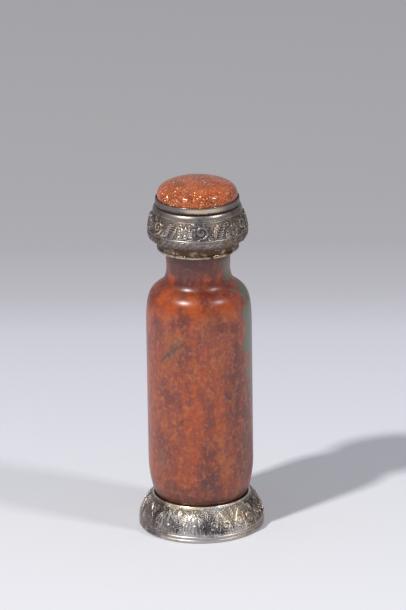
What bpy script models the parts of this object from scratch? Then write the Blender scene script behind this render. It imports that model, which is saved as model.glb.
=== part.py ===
"""Jade snuff bottle with a chased silver foot and a silver stopper set with goldstone.

The bottle stands on the plane z = 0 with its axis on +Z, and its front faces -Y. Every round piece is
turned from a profile of (radius, height) points. The silver foot and the stopper's cap are then chased:
their outer skin is pushed out where a leaf, a flower or a gadroon stands proud of the ground.
"""

import math

import bpy
import numpy as np

MM = 0.001
FULL_TURN = 2.0 * math.pi
FRONT_DEG = -90.0

# The jade bottle
BODY_RADIUS = 12.5 * MM
BOTTLE_HEIGHT = 65.2 * MM
BASE_FLAT_RADIUS = 6.3 * MM
BASE_ROUND_HEIGHT = 13.6 * MM
SHOULDER_HEIGHT = 11.4 * MM
NECK_HEIGHT = 8.0 * MM
NECK_RADIUS = 7.5 * MM
NECK_SWEEP = 3.9 * MM
NECK_LIP_FLARE = 0.15 * MM
CREASE_WIDTH = 1.5 * MM
CREASE_SLOPE = 1.44
LIP_ROUNDING = 0.25 * MM
SWEEP_TOP_HOLD = 0.2
SWEEP_FOOT_HOLD = 0.9
SHOULDER_TOP_HOLD = 0.77
SHOULDER_FOOT_HOLD = 0.79
ROUND_STEPS = 32
SWEEP_STEPS = 4
SHOULDER_STEPS = 7
BASE_STEPS = 7

# The hollow inside the bottle
BODY_WALL = 2.8 * MM
FLOOR_THICKNESS = 3.2 * MM
FLOOR_FLAT_RADIUS = 5.4 * MM
MOUTH_RADIUS = 3.8 * MM
HOLLOW_SHOULDER_HEIGHT = 5.0 * MM
HOLLOW_SHOULDER_DROP = 3.6 * MM
HOLLOW_STEPS = 4

# The silver foot
FOOT_HEIGHT = 8.0 * MM
FOOT_FLARE = 2.55 * MM
FOOT_SHEET = 0.9 * MM
FOOT_BOW = 0.55 * MM
BOTTLE_LIFT = 3.4 * MM
SEAT_CLEARANCE = 0.15 * MM
SEAT_HEIGHT = 0.7 * MM
SEAT_EDGE = 0.3 * MM
RIM_FLANGE_HEIGHT = 0.8 * MM
RIM_GROOVE_HEIGHT = 0.2 * MM
RIM_GROOVE_DEPTH = 0.3 * MM
RIM_REED_HEIGHT = 0.7 * MM
RIM_FLANGE_INSET = 0.15 * MM
STANDING_WIDTH = 1.9 * MM
LEAF_COUNT = 13
LEAF_RINGS = 5
LEAF_COLUMNS = 4
LEAF_FRONT_DEG = -10.0
LEAF_FOOT_SHARE = 0.43
LEAF_EDGE_FALL = 0.04
LEAF_POINTEDNESS = 1.7
LEAF_FADE = 5.0
LEAF_RELIEF = 0.32 * MM
LEAF_RIB_SHARE = 0.8
LEAF_VALLEY_SHARE = 0.4
UNDER_STEPS = 2

# The stopper's collar and plug
REST_GAP = 0.3 * MM
COLLAR_OVERHANG = 2.05 * MM
COLLAR_LIP_HEIGHT = 1.1 * MM
COLLAR_BAND_RECESS = 0.27 * MM
COLLAR_BAND_HEIGHT = 1.3 * MM
COLLAR_LIP_STEPS = 4
PLUG_CLEARANCE = 0.4 * MM
PLUG_LENGTH = 4.0 * MM

# The stopper's chased cap
CAP_FOOT_OVERHANG = 0.8 * MM
CAP_BULGE = 2.3 * MM
CAP_GADROON_HEIGHT = 2.3 * MM
CAP_GADROON_BOW = 0.65 * MM
CAP_BORDER_HEIGHT = 0.4 * MM
CAP_BORDER_RELIEF = 0.12 * MM
CAP_FRIEZE_HEIGHT = 4.1 * MM
CAP_FRIEZE_TAPER = 1.15 * MM
CAP_FRIEZE_BOW = 0.12 * MM
CAP_LINE_HEIGHT = 0.25 * MM
CAP_LINE_DEPTH = 0.15 * MM
CAP_PLAIN_HEIGHT = 1.25 * MM
CAP_PLAIN_BOW = 0.1 * MM
CAP_PLAIN_STEPS = 1
SCROLL_COUNT = 6
SCROLL_STEPS = 16
SCROLL_RINGS = 6
SCROLL_FRONT_DEG = -13.5
SCROLL_MARGIN = 0.06
SCROLL_RELIEF = 0.32 * MM
SCROLL_SWELL = 0.7
SCROLL_END_SHARE = 0.15
SCROLL_FADE = 12.0
MOTIF_COLUMNS = 5
GADROON_COUNT = 32
GADROON_RINGS = 4
GADROON_RELIEF = 0.16 * MM
GADROON_FADE = 4.0
GADROON_VALLEY = 0.1

# Each motif's place across its repeat, its half width and lean as shares of the repeat, and its hollow
SCROLL_MOTIFS = (
    (-0.31, 0.11, 0.12, 0.0),
    (-0.02, 0.10, 0.0, 0.35),
    (0.31, 0.12, -0.10, 0.7),
)

# The bezel and the stone
STONE_RADIUS = 9.45 * MM
STONE_HEIGHT = 5.6 * MM
STONE_GIRDLE_HEIGHT = 2.2 * MM
STONE_BASE_CHAMFER = 0.25 * MM
STONE_CROWN_HOLD = 0.64
STONE_EDGE_HOLD = 0.68
STONE_STEPS = 8
STONE_CLEARANCE = 0.15 * MM
BEZEL_WALL = 0.35 * MM
BEZEL_HEIGHT = 1.5 * MM
BEZEL_LEAN = 0.1 * MM
BEZEL_FOLD_SHARE = 0.6
CAP_TOP_LEDGE = 0.15 * MM

# Closeness in which points are one point, and in which a point lies on a skin
MERGE_DISTANCE = 0.01 * MM
SKIN_TOLERANCE = 0.002 * MM

# Places that follow from the sizes
BOTTLE_TOP = BOTTLE_LIFT + BOTTLE_HEIGHT
CREASE_Z = BOTTLE_TOP - NECK_HEIGHT
WALL_TOP_Z = CREASE_Z - SHOULDER_HEIGHT
WALL_FOOT_Z = BOTTLE_LIFT + BASE_ROUND_HEIGHT
COLLAR_Z = BOTTLE_TOP + REST_GAP
COLLAR_RADIUS = NECK_RADIUS + NECK_LIP_FLARE + COLLAR_OVERHANG
BAND_RADIUS = COLLAR_RADIUS - COLLAR_BAND_RECESS
CAP_Z = COLLAR_Z + COLLAR_LIP_HEIGHT + COLLAR_BAND_HEIGHT + REST_GAP
CAP_HEIGHT = CAP_GADROON_HEIGHT + CAP_BORDER_HEIGHT + CAP_FRIEZE_HEIGHT + CAP_LINE_HEIGHT + CAP_PLAIN_HEIGHT
SETTING_Z = CAP_Z + CAP_HEIGHT + REST_GAP
BEZEL_RADIUS = STONE_RADIUS + STONE_CLEARANCE + BEZEL_WALL

# Colours of the materials, linear, with roughness and metallic value
JADE_LOOK = ((0.33, 0.075, 0.025), 0.12, 0.0)
SILVER_LOOK = ((0.42, 0.39, 0.34), 0.34, 1.0)
GILT_LOOK = ((0.52, 0.43, 0.28), 0.25, 1.0)
GOLDSTONE_LOOK = ((0.45, 0.11, 0.03), 0.15, 0.2)


def clear_scene():
    """Remove every object, so that the script can be run again in an open file."""
    for item in list(bpy.data.objects):
        bpy.data.objects.remove(item, do_unlink=True)


def make_collection(name):
    """A fresh collection for the object's pieces, linked to the scene."""
    collection = bpy.data.collections.new(name)
    bpy.context.scene.collection.children.link(collection)
    return collection


def make_material(name, look):
    """A Principled material with a colour, a roughness and a metallic value."""
    colour, roughness, metallic = look
    material = bpy.data.materials.new(name)
    material.use_nodes = True
    shader = material.node_tree.nodes["Principled BSDF"]
    shader.inputs["Base Color"].default_value = (*colour, 1.0)
    shader.inputs["Roughness"].default_value = roughness
    shader.inputs["Metallic"].default_value = metallic
    material.diffuse_color = (*colour, 1.0)
    return material


def ellipse_arc(centre, semi_axes, start_deg, end_deg, steps):
    """Points along an ellipse, both ends included; 0 degrees is outward and 90 degrees is up."""
    points = []
    for i in range(steps + 1):
        angle = math.radians(start_deg + (end_deg - start_deg) * i / steps)
        out = centre[0] + semi_axes[0] * math.cos(angle)
        points.append((out, centre[1] + semi_axes[1] * math.sin(angle)))
    return points


def bezier(start, start_handle, end_handle, end, steps):
    """Points along a cubic curve, both ends included."""
    points = []
    for i in range(steps + 1):
        t = i / steps
        weights = ((1 - t) ** 3, 3 * t * (1 - t) ** 2, 3 * t * t * (1 - t), t ** 3)
        corners = (start, start_handle, end_handle, end)
        points.append(tuple(sum(w * c[axis] for w, c in zip(weights, corners)) for axis in range(2)))
    return points


def bowed_line(start, end, bow, steps):
    """Points on a circular arc from start to end that bulges to its right by bow at its middle."""
    along = (end[0] - start[0], end[1] - start[1])
    chord = math.hypot(*along)
    right = (along[1] / chord, -along[0] / chord)
    radius = (chord * chord / 4 + bow * bow) / (2 * bow)
    points = []
    for i in range(steps + 1):
        t = i / steps
        from_middle = (t - 0.5) * chord
        rise = math.sqrt(radius * radius - from_middle * from_middle) - (radius - bow)
        out = start[0] + along[0] * t + right[0] * rise
        points.append((out, start[1] + along[1] * t + right[1] * rise))
    return points


def turn(name, profile, steps, collection, material, closed=False, first_deg=0.0):
    """Turn a profile of (radius, height) points about the Z axis with a Screw modifier.

    The profile stands at first_deg round the axis, so the turned piece has a column of points there.
    """
    out = (math.cos(math.radians(first_deg)), math.sin(math.radians(first_deg)))
    mesh = bpy.data.meshes.new(name)
    edges = [(i, i + 1) for i in range(len(profile) - 1)]
    if closed:
        edges.append((len(profile) - 1, 0))
    mesh.from_pydata([(radius * out[0], radius * out[1], height) for radius, height in profile], edges, [])
    piece = bpy.data.objects.new(name, mesh)
    collection.objects.link(piece)
    mesh.materials.append(material)
    screw = piece.modifiers.new("Turning", "SCREW")
    screw.axis = "Z"
    screw.angle = FULL_TURN
    screw.steps = steps
    screw.render_steps = steps
    screw.use_merge_vertices = True
    screw.merge_threshold = MERGE_DISTANCE
    screw.use_smooth_shade = True
    return piece


def make_plain_mesh(piece):
    """Turn a piece's evaluated shape into its own mesh, so that it can be chased."""
    graph = bpy.context.evaluated_depsgraph_get()
    turned = bpy.data.meshes.new_from_object(piece.evaluated_get(graph))
    piece.modifiers.clear()
    piece.data = turned


def chase(piece, skin, ornament):
    """Work an ornament into the turned skin, which is a stretch of the profile from bottom to top.

    ornament(angle, share) takes a point's angle and its share of the way up the skin, and gives the
    angle that the point moves to and how far it is pushed out.
    """
    turned = piece.data
    count = len(turned.vertices)
    places = np.empty(count * 3)
    turned.vertices.foreach_get("co", places)
    places = places.reshape(count, 3)
    radii = np.hypot(places[:, 0], places[:, 1])
    line = np.array(skin)
    slopes = np.gradient(line, axis=0)
    outward = np.stack([slopes[:, 1], -slopes[:, 0]], axis=1)
    outward /= np.linalg.norm(outward, axis=1)[:, None]
    offsets = np.hypot(radii[:, None] - line[None, :, 0], places[:, 2][:, None] - line[None, :, 1])
    ring = offsets.argmin(axis=1)
    on_skin = np.nonzero(offsets.min(axis=1) < SKIN_TOLERANCE)[0]
    for index in on_skin:
        along = ring[index]
        angle = math.atan2(places[index, 1], places[index, 0])
        new_angle, height = ornament(angle, along / (len(skin) - 1))
        new_radius = line[along, 0] + outward[along, 0] * height
        new_height = line[along, 1] + outward[along, 1] * height
        places[index] = (new_radius * math.cos(new_angle), new_radius * math.sin(new_angle), new_height)
    turned.vertices.foreach_set("co", places.ravel())
    turned.update()


def bump(distance, half_width):
    """A rounded ridge: 1 on its line and 0 from half_width away."""
    if distance >= half_width:
        return 0.0
    return math.sqrt(1.0 - (distance / half_width) ** 2)


def cell_of(angle, first_deg, count):
    """The repeat that an angle lies in, as its middle angle and a share from -0.5 to 0.5 across it."""
    pitch = FULL_TURN / count
    first = math.radians(first_deg)
    number = math.floor((angle - first) / pitch + 0.5)
    middle = first + number * pitch
    return middle, (angle - middle) / pitch


def base_radius_at(height):
    """The bottle's outer radius on its rounded base, at a height over the table."""
    drop = (WALL_FOOT_Z - height) / BASE_ROUND_HEIGHT
    return BASE_FLAT_RADIUS + (BODY_RADIUS - BASE_FLAT_RADIUS) * math.sqrt(1.0 - drop * drop)


def bottle_outside():
    """The bottle's outline from the edge of its mouth down to the middle of its base."""
    lip_radius = NECK_RADIUS + NECK_LIP_FLARE
    sweep_top = (NECK_RADIUS, CREASE_Z + NECK_SWEEP)
    crease = (NECK_RADIUS + CREASE_WIDTH, CREASE_Z)
    wall_top = (BODY_RADIUS, WALL_TOP_Z)
    inward = SWEEP_FOOT_HOLD * CREASE_WIDTH
    sweep = bezier(
        sweep_top, (NECK_RADIUS, sweep_top[1] - SWEEP_TOP_HOLD * NECK_SWEEP),
        (crease[0] - inward, crease[1] + inward / CREASE_SLOPE), crease, SWEEP_STEPS,
    )
    outward = SHOULDER_TOP_HOLD * (wall_top[0] - crease[0])
    shoulder = bezier(
        crease, (crease[0] + outward, crease[1] - outward / CREASE_SLOPE),
        (wall_top[0], wall_top[1] + SHOULDER_FOOT_HOLD * SHOULDER_HEIGHT), wall_top, SHOULDER_STEPS,
    )
    base_semi_axes = (BODY_RADIUS - BASE_FLAT_RADIUS, BASE_ROUND_HEIGHT)
    base = ellipse_arc((BASE_FLAT_RADIUS, WALL_FOOT_Z), base_semi_axes, 0, -90, BASE_STEPS)
    lip = [(lip_radius - LIP_ROUNDING, BOTTLE_TOP), (lip_radius, BOTTLE_TOP - LIP_ROUNDING)]
    return lip + sweep + shoulder[1:] + base + [(0.0, BOTTLE_LIFT)]


def bottle_inside():
    """The hollow's outline from the middle of its floor up to the edge of the mouth bore."""
    radius = BODY_RADIUS - BODY_WALL
    floor_z = BOTTLE_LIFT + FLOOR_THICKNESS
    floor_semi_axes = (radius - FLOOR_FLAT_RADIUS, WALL_FOOT_Z - floor_z)
    floor_round = ellipse_arc((FLOOR_FLAT_RADIUS, WALL_FOOT_Z), floor_semi_axes, -90, 0, HOLLOW_STEPS)
    shoulder_z = CREASE_Z - HOLLOW_SHOULDER_DROP - HOLLOW_SHOULDER_HEIGHT
    shoulder_semi_axes = (radius - MOUTH_RADIUS, HOLLOW_SHOULDER_HEIGHT)
    shoulder = ellipse_arc((MOUTH_RADIUS, shoulder_z), shoulder_semi_axes, 0, 90, HOLLOW_STEPS)
    mouth = [(MOUTH_RADIUS, BOTTLE_TOP - LIP_ROUNDING), (MOUTH_RADIUS + LIP_ROUNDING, BOTTLE_TOP)]
    return [(0.0, floor_z)] + floor_round + shoulder + mouth


def make_bottle(collection):
    """The hollow bottle, open at its mouth."""
    jade = make_material("jade", JADE_LOOK)
    turn("bottle", bottle_inside() + bottle_outside(), ROUND_STEPS, collection, jade)


def leaf_ornament(angle, share):
    """Pointed leaves side by side round the foot, each with a rib, two hollows and a raised edge.

    The points of a leaf are drawn in to its outline, so its edges run clean up to its tip.
    """
    middle, across = cell_of(angle, FRONT_DEG + LEAF_FRONT_DEG, LEAF_COUNT)
    column = round(abs(across) * 2 * LEAF_COLUMNS)
    leaf_half = LEAF_FOOT_SHARE * (1.0 - share ** LEAF_POINTEDNESS)
    stops = (0.0, leaf_half / 2, leaf_half, leaf_half + LEAF_EDGE_FALL, 0.5)
    heights = (LEAF_RIB_SHARE, LEAF_VALLEY_SHARE, 1.0, 0.0, 0.0)
    new_angle = middle + math.copysign(stops[column], across) * FULL_TURN / LEAF_COUNT
    fade = min(1.0, LEAF_FADE * share, LEAF_FADE * (1.0 - share))
    return new_angle, LEAF_RELIEF * fade * heights[column]


def make_foot(collection):
    """The flared sheet-silver foot: a seat round the bottle, a chased slope and a reeded rim."""
    rim_radius = BODY_RADIUS + FOOT_FLARE
    seat_low = FOOT_HEIGHT - SEAT_HEIGHT
    seat_radius = base_radius_at(FOOT_HEIGHT) + SEAT_CLEARANCE
    seat_low_radius = base_radius_at(seat_low) + SEAT_CLEARANCE
    flange_radius = rim_radius - RIM_FLANGE_INSET
    groove_radius = rim_radius - RIM_GROOVE_DEPTH
    groove_top = RIM_FLANGE_HEIGHT + RIM_GROOVE_HEIGHT
    reed_top = groove_top + RIM_REED_HEIGHT
    slope = bowed_line((rim_radius, reed_top), (seat_radius + SEAT_EDGE, FOOT_HEIGHT), FOOT_BOW, LEAF_RINGS)
    under_top = (seat_low_radius + SEAT_EDGE, seat_low - SEAT_EDGE)
    under = bowed_line((rim_radius - FOOT_SHEET, reed_top), under_top, FOOT_BOW, UNDER_STEPS)
    rim = [
        (rim_radius, groove_top), (groove_radius, RIM_FLANGE_HEIGHT), (flange_radius, RIM_FLANGE_HEIGHT),
        (flange_radius, 0.0), (flange_radius - STANDING_WIDTH, 0.0),
    ]
    seat = [(seat_low_radius, seat_low), (seat_radius, FOOT_HEIGHT)]
    silver = make_material("foot_silver", SILVER_LOOK)
    profile = list(reversed(slope)) + rim + under + seat
    steps = 2 * LEAF_COLUMNS * LEAF_COUNT
    foot = turn("foot_mount", profile, steps, collection, silver, True, FRONT_DEG + LEAF_FRONT_DEG)
    make_plain_mesh(foot)
    chase(foot, slope, leaf_ornament)


def make_collar(collection):
    """The plain ring under the cap, with the plate on the mouth and the plug in it."""
    top = COLLAR_Z + COLLAR_LIP_HEIGHT + COLLAR_BAND_HEIGHT
    lip_top = COLLAR_Z + COLLAR_LIP_HEIGHT
    rounding = COLLAR_LIP_HEIGHT / 2
    meets_band_deg = math.degrees(math.acos(1.0 - COLLAR_BAND_RECESS / rounding))
    lip_centre = (COLLAR_RADIUS - rounding, lip_top - rounding)
    lip = ellipse_arc(lip_centre, (rounding, rounding), meets_band_deg, -90, COLLAR_LIP_STEPS)
    plug_radius = MOUTH_RADIUS - PLUG_CLEARANCE
    plug_end = COLLAR_Z - PLUG_LENGTH
    plug = [
        (plug_radius, COLLAR_Z), (plug_radius, plug_end + PLUG_CLEARANCE),
        (plug_radius - PLUG_CLEARANCE, plug_end), (0.0, plug_end),
    ]
    gilt = make_material("collar_gilt", GILT_LOOK)
    profile = [(0.0, top), (BAND_RADIUS, top)] + lip + plug
    turn("stopper_collar", profile, ROUND_STEPS, collection, gilt)


def scroll_ornament(angle, share):
    """A running frieze round the cap: in each repeat a leaning leaf, a flower and a curl.

    MOTIF_COLUMNS columns of points are drawn in to each motif's outline, and one column between
    repeats stays ground.
    """
    middle, across = cell_of(angle, FRONT_DEG + SCROLL_FRONT_DEG, SCROLL_COUNT)
    column = round((across + 0.5) * SCROLL_STEPS) % SCROLL_STEPS
    if column == 0:
        return angle, 0.0
    centre, half_width, lean, hollow = SCROLL_MOTIFS[(column - 1) // MOTIF_COLUMNS]
    side = 2.0 * ((column - 1) % MOTIF_COLUMNS) / (MOTIF_COLUMNS - 1) - 1.0
    up = min(1.0, max(0.0, (share - SCROLL_MARGIN) / (1.0 - 2 * SCROLL_MARGIN)))
    half = half_width * max(SCROLL_END_SHARE, math.sin(math.pi * up)) ** SCROLL_SWELL
    new_angle = middle + (centre + lean * (share - 0.5) + side * half) * FULL_TURN / SCROLL_COUNT
    fade = min(1.0, SCROLL_FADE * up, SCROLL_FADE * (1.0 - up))
    proud = bump(abs(side), 1.0) - hollow * bump(math.hypot(side, 2 * share - 1.0), 0.5)
    return new_angle, SCROLL_RELIEF * fade * proud


def gadroon_ornament(angle, share):
    """Slanting gadroons round the cap's lower edge, three columns of points to each."""
    pitch = FULL_TURN / GADROON_COUNT
    _, across = cell_of(angle, FRONT_DEG + SCROLL_FRONT_DEG, GADROON_COUNT)
    fade = min(1.0, GADROON_FADE * share, GADROON_FADE * (1.0 - share))
    proud = 1.0 if abs(across) > GADROON_VALLEY else 0.0
    return angle + pitch * (1.0 - share), GADROON_RELIEF * fade * proud


def make_cap(collection):
    """The chased bulb: gadroons below, a raised border, the scroll frieze and a plain band on top."""
    foot_radius = BAND_RADIUS + CAP_FOOT_OVERHANG
    bulge_radius = BAND_RADIUS + CAP_BULGE
    gadroon_top = CAP_Z + CAP_GADROON_HEIGHT
    frieze_z = gadroon_top + CAP_BORDER_HEIGHT
    frieze_top = frieze_z + CAP_FRIEZE_HEIGHT
    frieze_radius = bulge_radius - CAP_FRIEZE_TAPER
    plain_z = frieze_top + CAP_LINE_HEIGHT
    top_z = plain_z + CAP_PLAIN_HEIGHT
    top_radius = BEZEL_RADIUS + CAP_TOP_LEDGE
    gadroons = bowed_line((foot_radius, CAP_Z), (bulge_radius, gadroon_top), CAP_GADROON_BOW, GADROON_RINGS)
    border_z = (gadroon_top + frieze_z) / 2
    border = [(bulge_radius + CAP_BORDER_RELIEF, border_z)]
    frieze = bowed_line((bulge_radius, frieze_z), (frieze_radius, frieze_top), CAP_FRIEZE_BOW, SCROLL_RINGS)
    line = [(frieze_radius - CAP_LINE_DEPTH, frieze_top)]
    plain = bowed_line((frieze_radius, plain_z), (top_radius, top_z), CAP_PLAIN_BOW, CAP_PLAIN_STEPS)
    silver = make_material("cap_silver", SILVER_LOOK)
    rising = [(0.0, CAP_Z)] + gadroons + border + frieze + line + plain + [(0.0, top_z)]
    steps = SCROLL_COUNT * SCROLL_STEPS
    first_deg = FRONT_DEG + SCROLL_FRONT_DEG
    cap = turn("stopper_cap", list(reversed(rising)), steps, collection, silver, first_deg=first_deg)
    make_plain_mesh(cap)
    chase(cap, gadroons, gadroon_ornament)
    chase(cap, frieze, scroll_ornament)


def make_bezel(collection):
    """The plain strip that stands round the stone, leaning in a little at its top."""
    inner = STONE_RADIUS + STONE_CLEARANCE
    top = SETTING_Z + BEZEL_HEIGHT
    fold_z = SETTING_Z + BEZEL_FOLD_SHARE * BEZEL_HEIGHT
    profile = [
        (BEZEL_RADIUS - BEZEL_LEAN, top), (BEZEL_RADIUS, fold_z), (BEZEL_RADIUS, SETTING_Z),
        (inner, SETTING_Z), (inner, top),
    ]
    silver = make_material("bezel_silver", SILVER_LOOK)
    turn("stone_bezel", profile, ROUND_STEPS, collection, silver, closed=True)


def make_stone(collection):
    """The goldstone cabochon: an upright girdle in the bezel under a low dome with a round edge."""
    top = SETTING_Z + STONE_HEIGHT
    girdle = (STONE_RADIUS, SETTING_Z + STONE_GIRDLE_HEIGHT)
    dome_rise = STONE_HEIGHT - STONE_GIRDLE_HEIGHT
    dome = bezier(
        (0.0, top), (STONE_CROWN_HOLD * STONE_RADIUS, top),
        (STONE_RADIUS, girdle[1] + STONE_EDGE_HOLD * dome_rise), girdle, STONE_STEPS,
    )
    base = [
        (STONE_RADIUS, SETTING_Z + STONE_BASE_CHAMFER),
        (STONE_RADIUS - STONE_BASE_CHAMFER, SETTING_Z), (0.0, SETTING_Z),
    ]
    goldstone = make_material("goldstone", GOLDSTONE_LOOK)
    turn("cabochon", dome + base, ROUND_STEPS, collection, goldstone)


def main():
    clear_scene()
    collection = make_collection("snuff_bottle")
    make_bottle(collection)
    make_foot(collection)
    make_collar(collection)
    make_cap(collection)
    make_bezel(collection)
    make_stone(collection)


main()
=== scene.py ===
# %% [markdown]
# # A jade snuff bottle with silver mounts
#
# The object is a slim jade bottle on a chased silver foot. Its stopper is a chased silver cap on a gilt
# collar, set with a domed goldstone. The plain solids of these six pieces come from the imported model.
# This lesson gives each of them a fine surface and a finish, then lights them like the studio photograph.

import math

import bpy
import numpy as np
from mathutils import Matrix, Vector


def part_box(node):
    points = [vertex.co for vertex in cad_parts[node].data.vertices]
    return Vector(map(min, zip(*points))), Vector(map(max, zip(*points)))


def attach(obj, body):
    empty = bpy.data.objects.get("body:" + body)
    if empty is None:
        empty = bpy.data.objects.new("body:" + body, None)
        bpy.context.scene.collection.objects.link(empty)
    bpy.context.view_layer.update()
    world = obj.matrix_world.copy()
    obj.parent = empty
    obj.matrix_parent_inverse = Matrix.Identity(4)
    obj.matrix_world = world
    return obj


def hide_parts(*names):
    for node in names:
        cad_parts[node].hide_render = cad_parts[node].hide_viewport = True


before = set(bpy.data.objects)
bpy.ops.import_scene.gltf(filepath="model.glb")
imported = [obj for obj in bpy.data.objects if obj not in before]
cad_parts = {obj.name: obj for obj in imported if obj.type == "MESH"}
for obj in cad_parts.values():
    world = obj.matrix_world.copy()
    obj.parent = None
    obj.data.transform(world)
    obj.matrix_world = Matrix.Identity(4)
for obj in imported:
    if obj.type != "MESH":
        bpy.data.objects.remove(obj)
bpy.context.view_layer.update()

# %% [markdown]
# ## Units and small tools
#
# A snuff bottle is a thing of millimetres, so every profile below is written in millimetres and turned
# into metres when its mesh is made. Two curves do nearly all the drawing: a cubic curve for a line that
# swells and turns, and a shallow arc for a line that only bows a little.

# %% Curves in the profile plane
MM = 0.001
FULL_TURN = 2.0 * math.pi


def cubic(start, start_handle, end_handle, end, steps):
    """Points on a cubic curve, both ends included."""
    t = np.linspace(0.0, 1.0, steps + 1)[:, None]
    corners = [np.array(point, float) for point in (start, start_handle, end_handle, end)]
    curve = (1 - t) ** 3 * corners[0] + 3 * t * (1 - t) ** 2 * corners[1]
    curve = curve + 3 * t * t * (1 - t) * corners[2] + t ** 3 * corners[3]
    return [tuple(point) for point in curve]


def bowed(start, end, bow, steps):
    """Points on a shallow arc from start to end that bulges to its right by bow."""
    start, end = np.array(start, float), np.array(end, float)
    along = end - start
    chord = np.linalg.norm(along)
    right = np.array([along[1], -along[0]]) / chord
    radius = (chord * chord / 4 + bow * bow) / (2 * bow)
    points = []
    for t in np.linspace(0.0, 1.0, steps + 1):
        rise = math.sqrt(radius ** 2 - ((t - 0.5) * chord) ** 2) - (radius - bow)
        points.append(tuple(start + along * t + right * rise))
    return points


def ellipse(centre, semi_axes, start_deg, end_deg, steps):
    """Points on an ellipse, both ends included; 0 degrees is outward and 90 degrees is up."""
    angles = np.radians(np.linspace(start_deg, end_deg, steps + 1))
    across, up = semi_axes
    return [(centre[0] + across * math.cos(a), centre[1] + up * math.sin(a)) for a in angles]


highest = bowed((0.0, 0.0), (0.0, 4.0), 0.5, 2)[1]
print(f"an arc from (0, 0) up to (0, 4) that bows by 0.5 passes ({highest[0]:.1f}, {highest[1]:.1f})")


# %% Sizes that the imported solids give
def node_size(node):
    """A node's outer radius, lowest height and highest height, in millimetres."""
    low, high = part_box(node)
    return (high[0] - low[0]) / 2 / MM, low[2] / MM, high[2] / MM


BODY_RADIUS, BOTTLE_LOW, BOTTLE_TOP = node_size("bottle")
FOOT_RADIUS, _, FOOT_TOP = node_size("foot_mount")
COLLAR_RADIUS, PLUG_LOW, COLLAR_TOP = node_size("stopper_collar")
CAP_RADIUS, CAP_LOW, CAP_TOP = node_size("stopper_cap")
BEZEL_RADIUS, BEZEL_LOW, BEZEL_TOP = node_size("stone_bezel")
STONE_RADIUS, STONE_LOW, STONE_TOP = node_size("cabochon")
print(f"bottle {BODY_RADIUS:.2f} mm in radius, {BOTTLE_LOW:.2f} to {BOTTLE_TOP:.2f} mm high")
print(f"foot {FOOT_RADIUS:.2f} mm, cap {CAP_RADIUS:.2f} mm, stone {STONE_RADIUS:.2f} mm")

# %% [markdown]
# ## The camera
#
# The photograph was taken with a long lens from about a metre away, looking down at 19 degrees. A long lens
# keeps the bottle's sides parallel. The picture leans a little to the left, so the camera is rolled by less
# than a degree about its line of sight.

# %% Camera
PHOTO_HEIGHT_PX = 610
FOCAL_LENGTH_PX = 4300.0
SENSOR_MM = 36.0
CAMERA_ELEVATION = math.radians(19.25)
CAMERA_DISTANCE = 1.014
CAMERA_ROLL = math.radians(0.8)
NEAREST_SEEN = 0.05
AIM = Vector((0.0010, 0.0, 0.0547))


def in_scene(name, data):
    """A new object of that name with that data, linked to the scene."""
    made = bpy.data.objects.new(name, data)
    bpy.context.scene.collection.objects.link(made)
    return made


forward = Vector((0.0, math.cos(CAMERA_ELEVATION), -math.sin(CAMERA_ELEVATION)))
level = Vector((1.0, 0.0, 0.0))
upright = level.cross(forward)
across = level * math.cos(CAMERA_ROLL) - upright * math.sin(CAMERA_ROLL)
rise = level * math.sin(CAMERA_ROLL) + upright * math.cos(CAMERA_ROLL)

lens = bpy.data.cameras.new("camera")
lens.sensor_width = SENSOR_MM
lens.lens = FOCAL_LENGTH_PX / PHOTO_HEIGHT_PX * SENSOR_MM
lens.clip_start = NEAREST_SEEN
camera = in_scene("camera", lens)
camera.matrix_world = Matrix((across, rise, -forward)).transposed().to_4x4()
camera.location = AIM - forward * CAMERA_DISTANCE
bpy.context.scene.camera = camera
bpy.context.scene.view_settings.view_transform = "Standard"
print(f"camera: {lens.lens:.0f} mm lens, {CAMERA_DISTANCE:.2f} m away")

# %% [markdown]
# ## Building shader trees
#
# Every finish below is a small tree of nodes. One helper adds a node and fills its sockets: a number or a
# colour is set on the socket, and another node's output is linked to it. Short helpers on top of it do
# arithmetic, mix colours and map one range of values to another.

# %% Nodes and sockets
def fill(tree, node, inputs):
    """Fill sockets, given by name or number: link an output to them, or set a plain value."""
    for key, value in inputs.items():
        if isinstance(value, bpy.types.NodeSocket):
            tree.links.new(value, node.inputs[key])
        else:
            node.inputs[key].default_value = value


def add(tree, kind, inputs=None, **settings):
    """Add a node with these settings and fill its sockets."""
    made = tree.nodes.new(kind)
    for key, value in settings.items():
        setattr(made, key, value)
    fill(tree, made, inputs or {})
    return made


def calc(tree, operation, *values, clamp=False):
    """One step of arithmetic, as a Math node's output."""
    made = add(tree, "ShaderNodeMath", dict(enumerate(values)), operation=operation)
    made.use_clamp = clamp
    return made.outputs[0]


def vector(tree, operation, inputs, output=0):
    """One step of vector arithmetic, as a Vector Math node's output."""
    return add(tree, "ShaderNodeVectorMath", inputs, operation=operation).outputs[output]


# %% Colours, ranges and noise
def colour(red, green, blue):
    """A linear colour with its alpha."""
    return (red, green, blue, 1.0)


def blend(tree, factor, first, second, kind="MIX"):
    """Mix two colours by a factor, as a Mix node's output."""
    inputs = {0: factor, 6: first, 7: second}
    return add(tree, "ShaderNodeMix", inputs, data_type="RGBA", blend_type=kind).outputs[2]


def ramp(tree, value, low, high, to_low=0.0, to_high=1.0):
    """Map a value smoothly from low..high to to_low..to_high, and hold it beyond both ends."""
    inputs = {0: value, 1: low, 2: high, 3: to_low, 4: to_high}
    return add(tree, "ShaderNodeMapRange", inputs, interpolation_type="SMOOTHSTEP").outputs[0]


def noise(tree, place, per_mm, detail=3.0, roughness=0.55, offset=0.0):
    """Noise in object space with so many lumps to the millimetre, as its 0..1 output."""
    shifted = vector(tree, "ADD", {0: place, 1: (offset, offset, offset)})
    inputs = {"Vector": shifted, "Scale": per_mm, "Detail": detail, "Roughness": roughness}
    return add(tree, "ShaderNodeTexNoise", inputs).outputs["Fac"]


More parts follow.
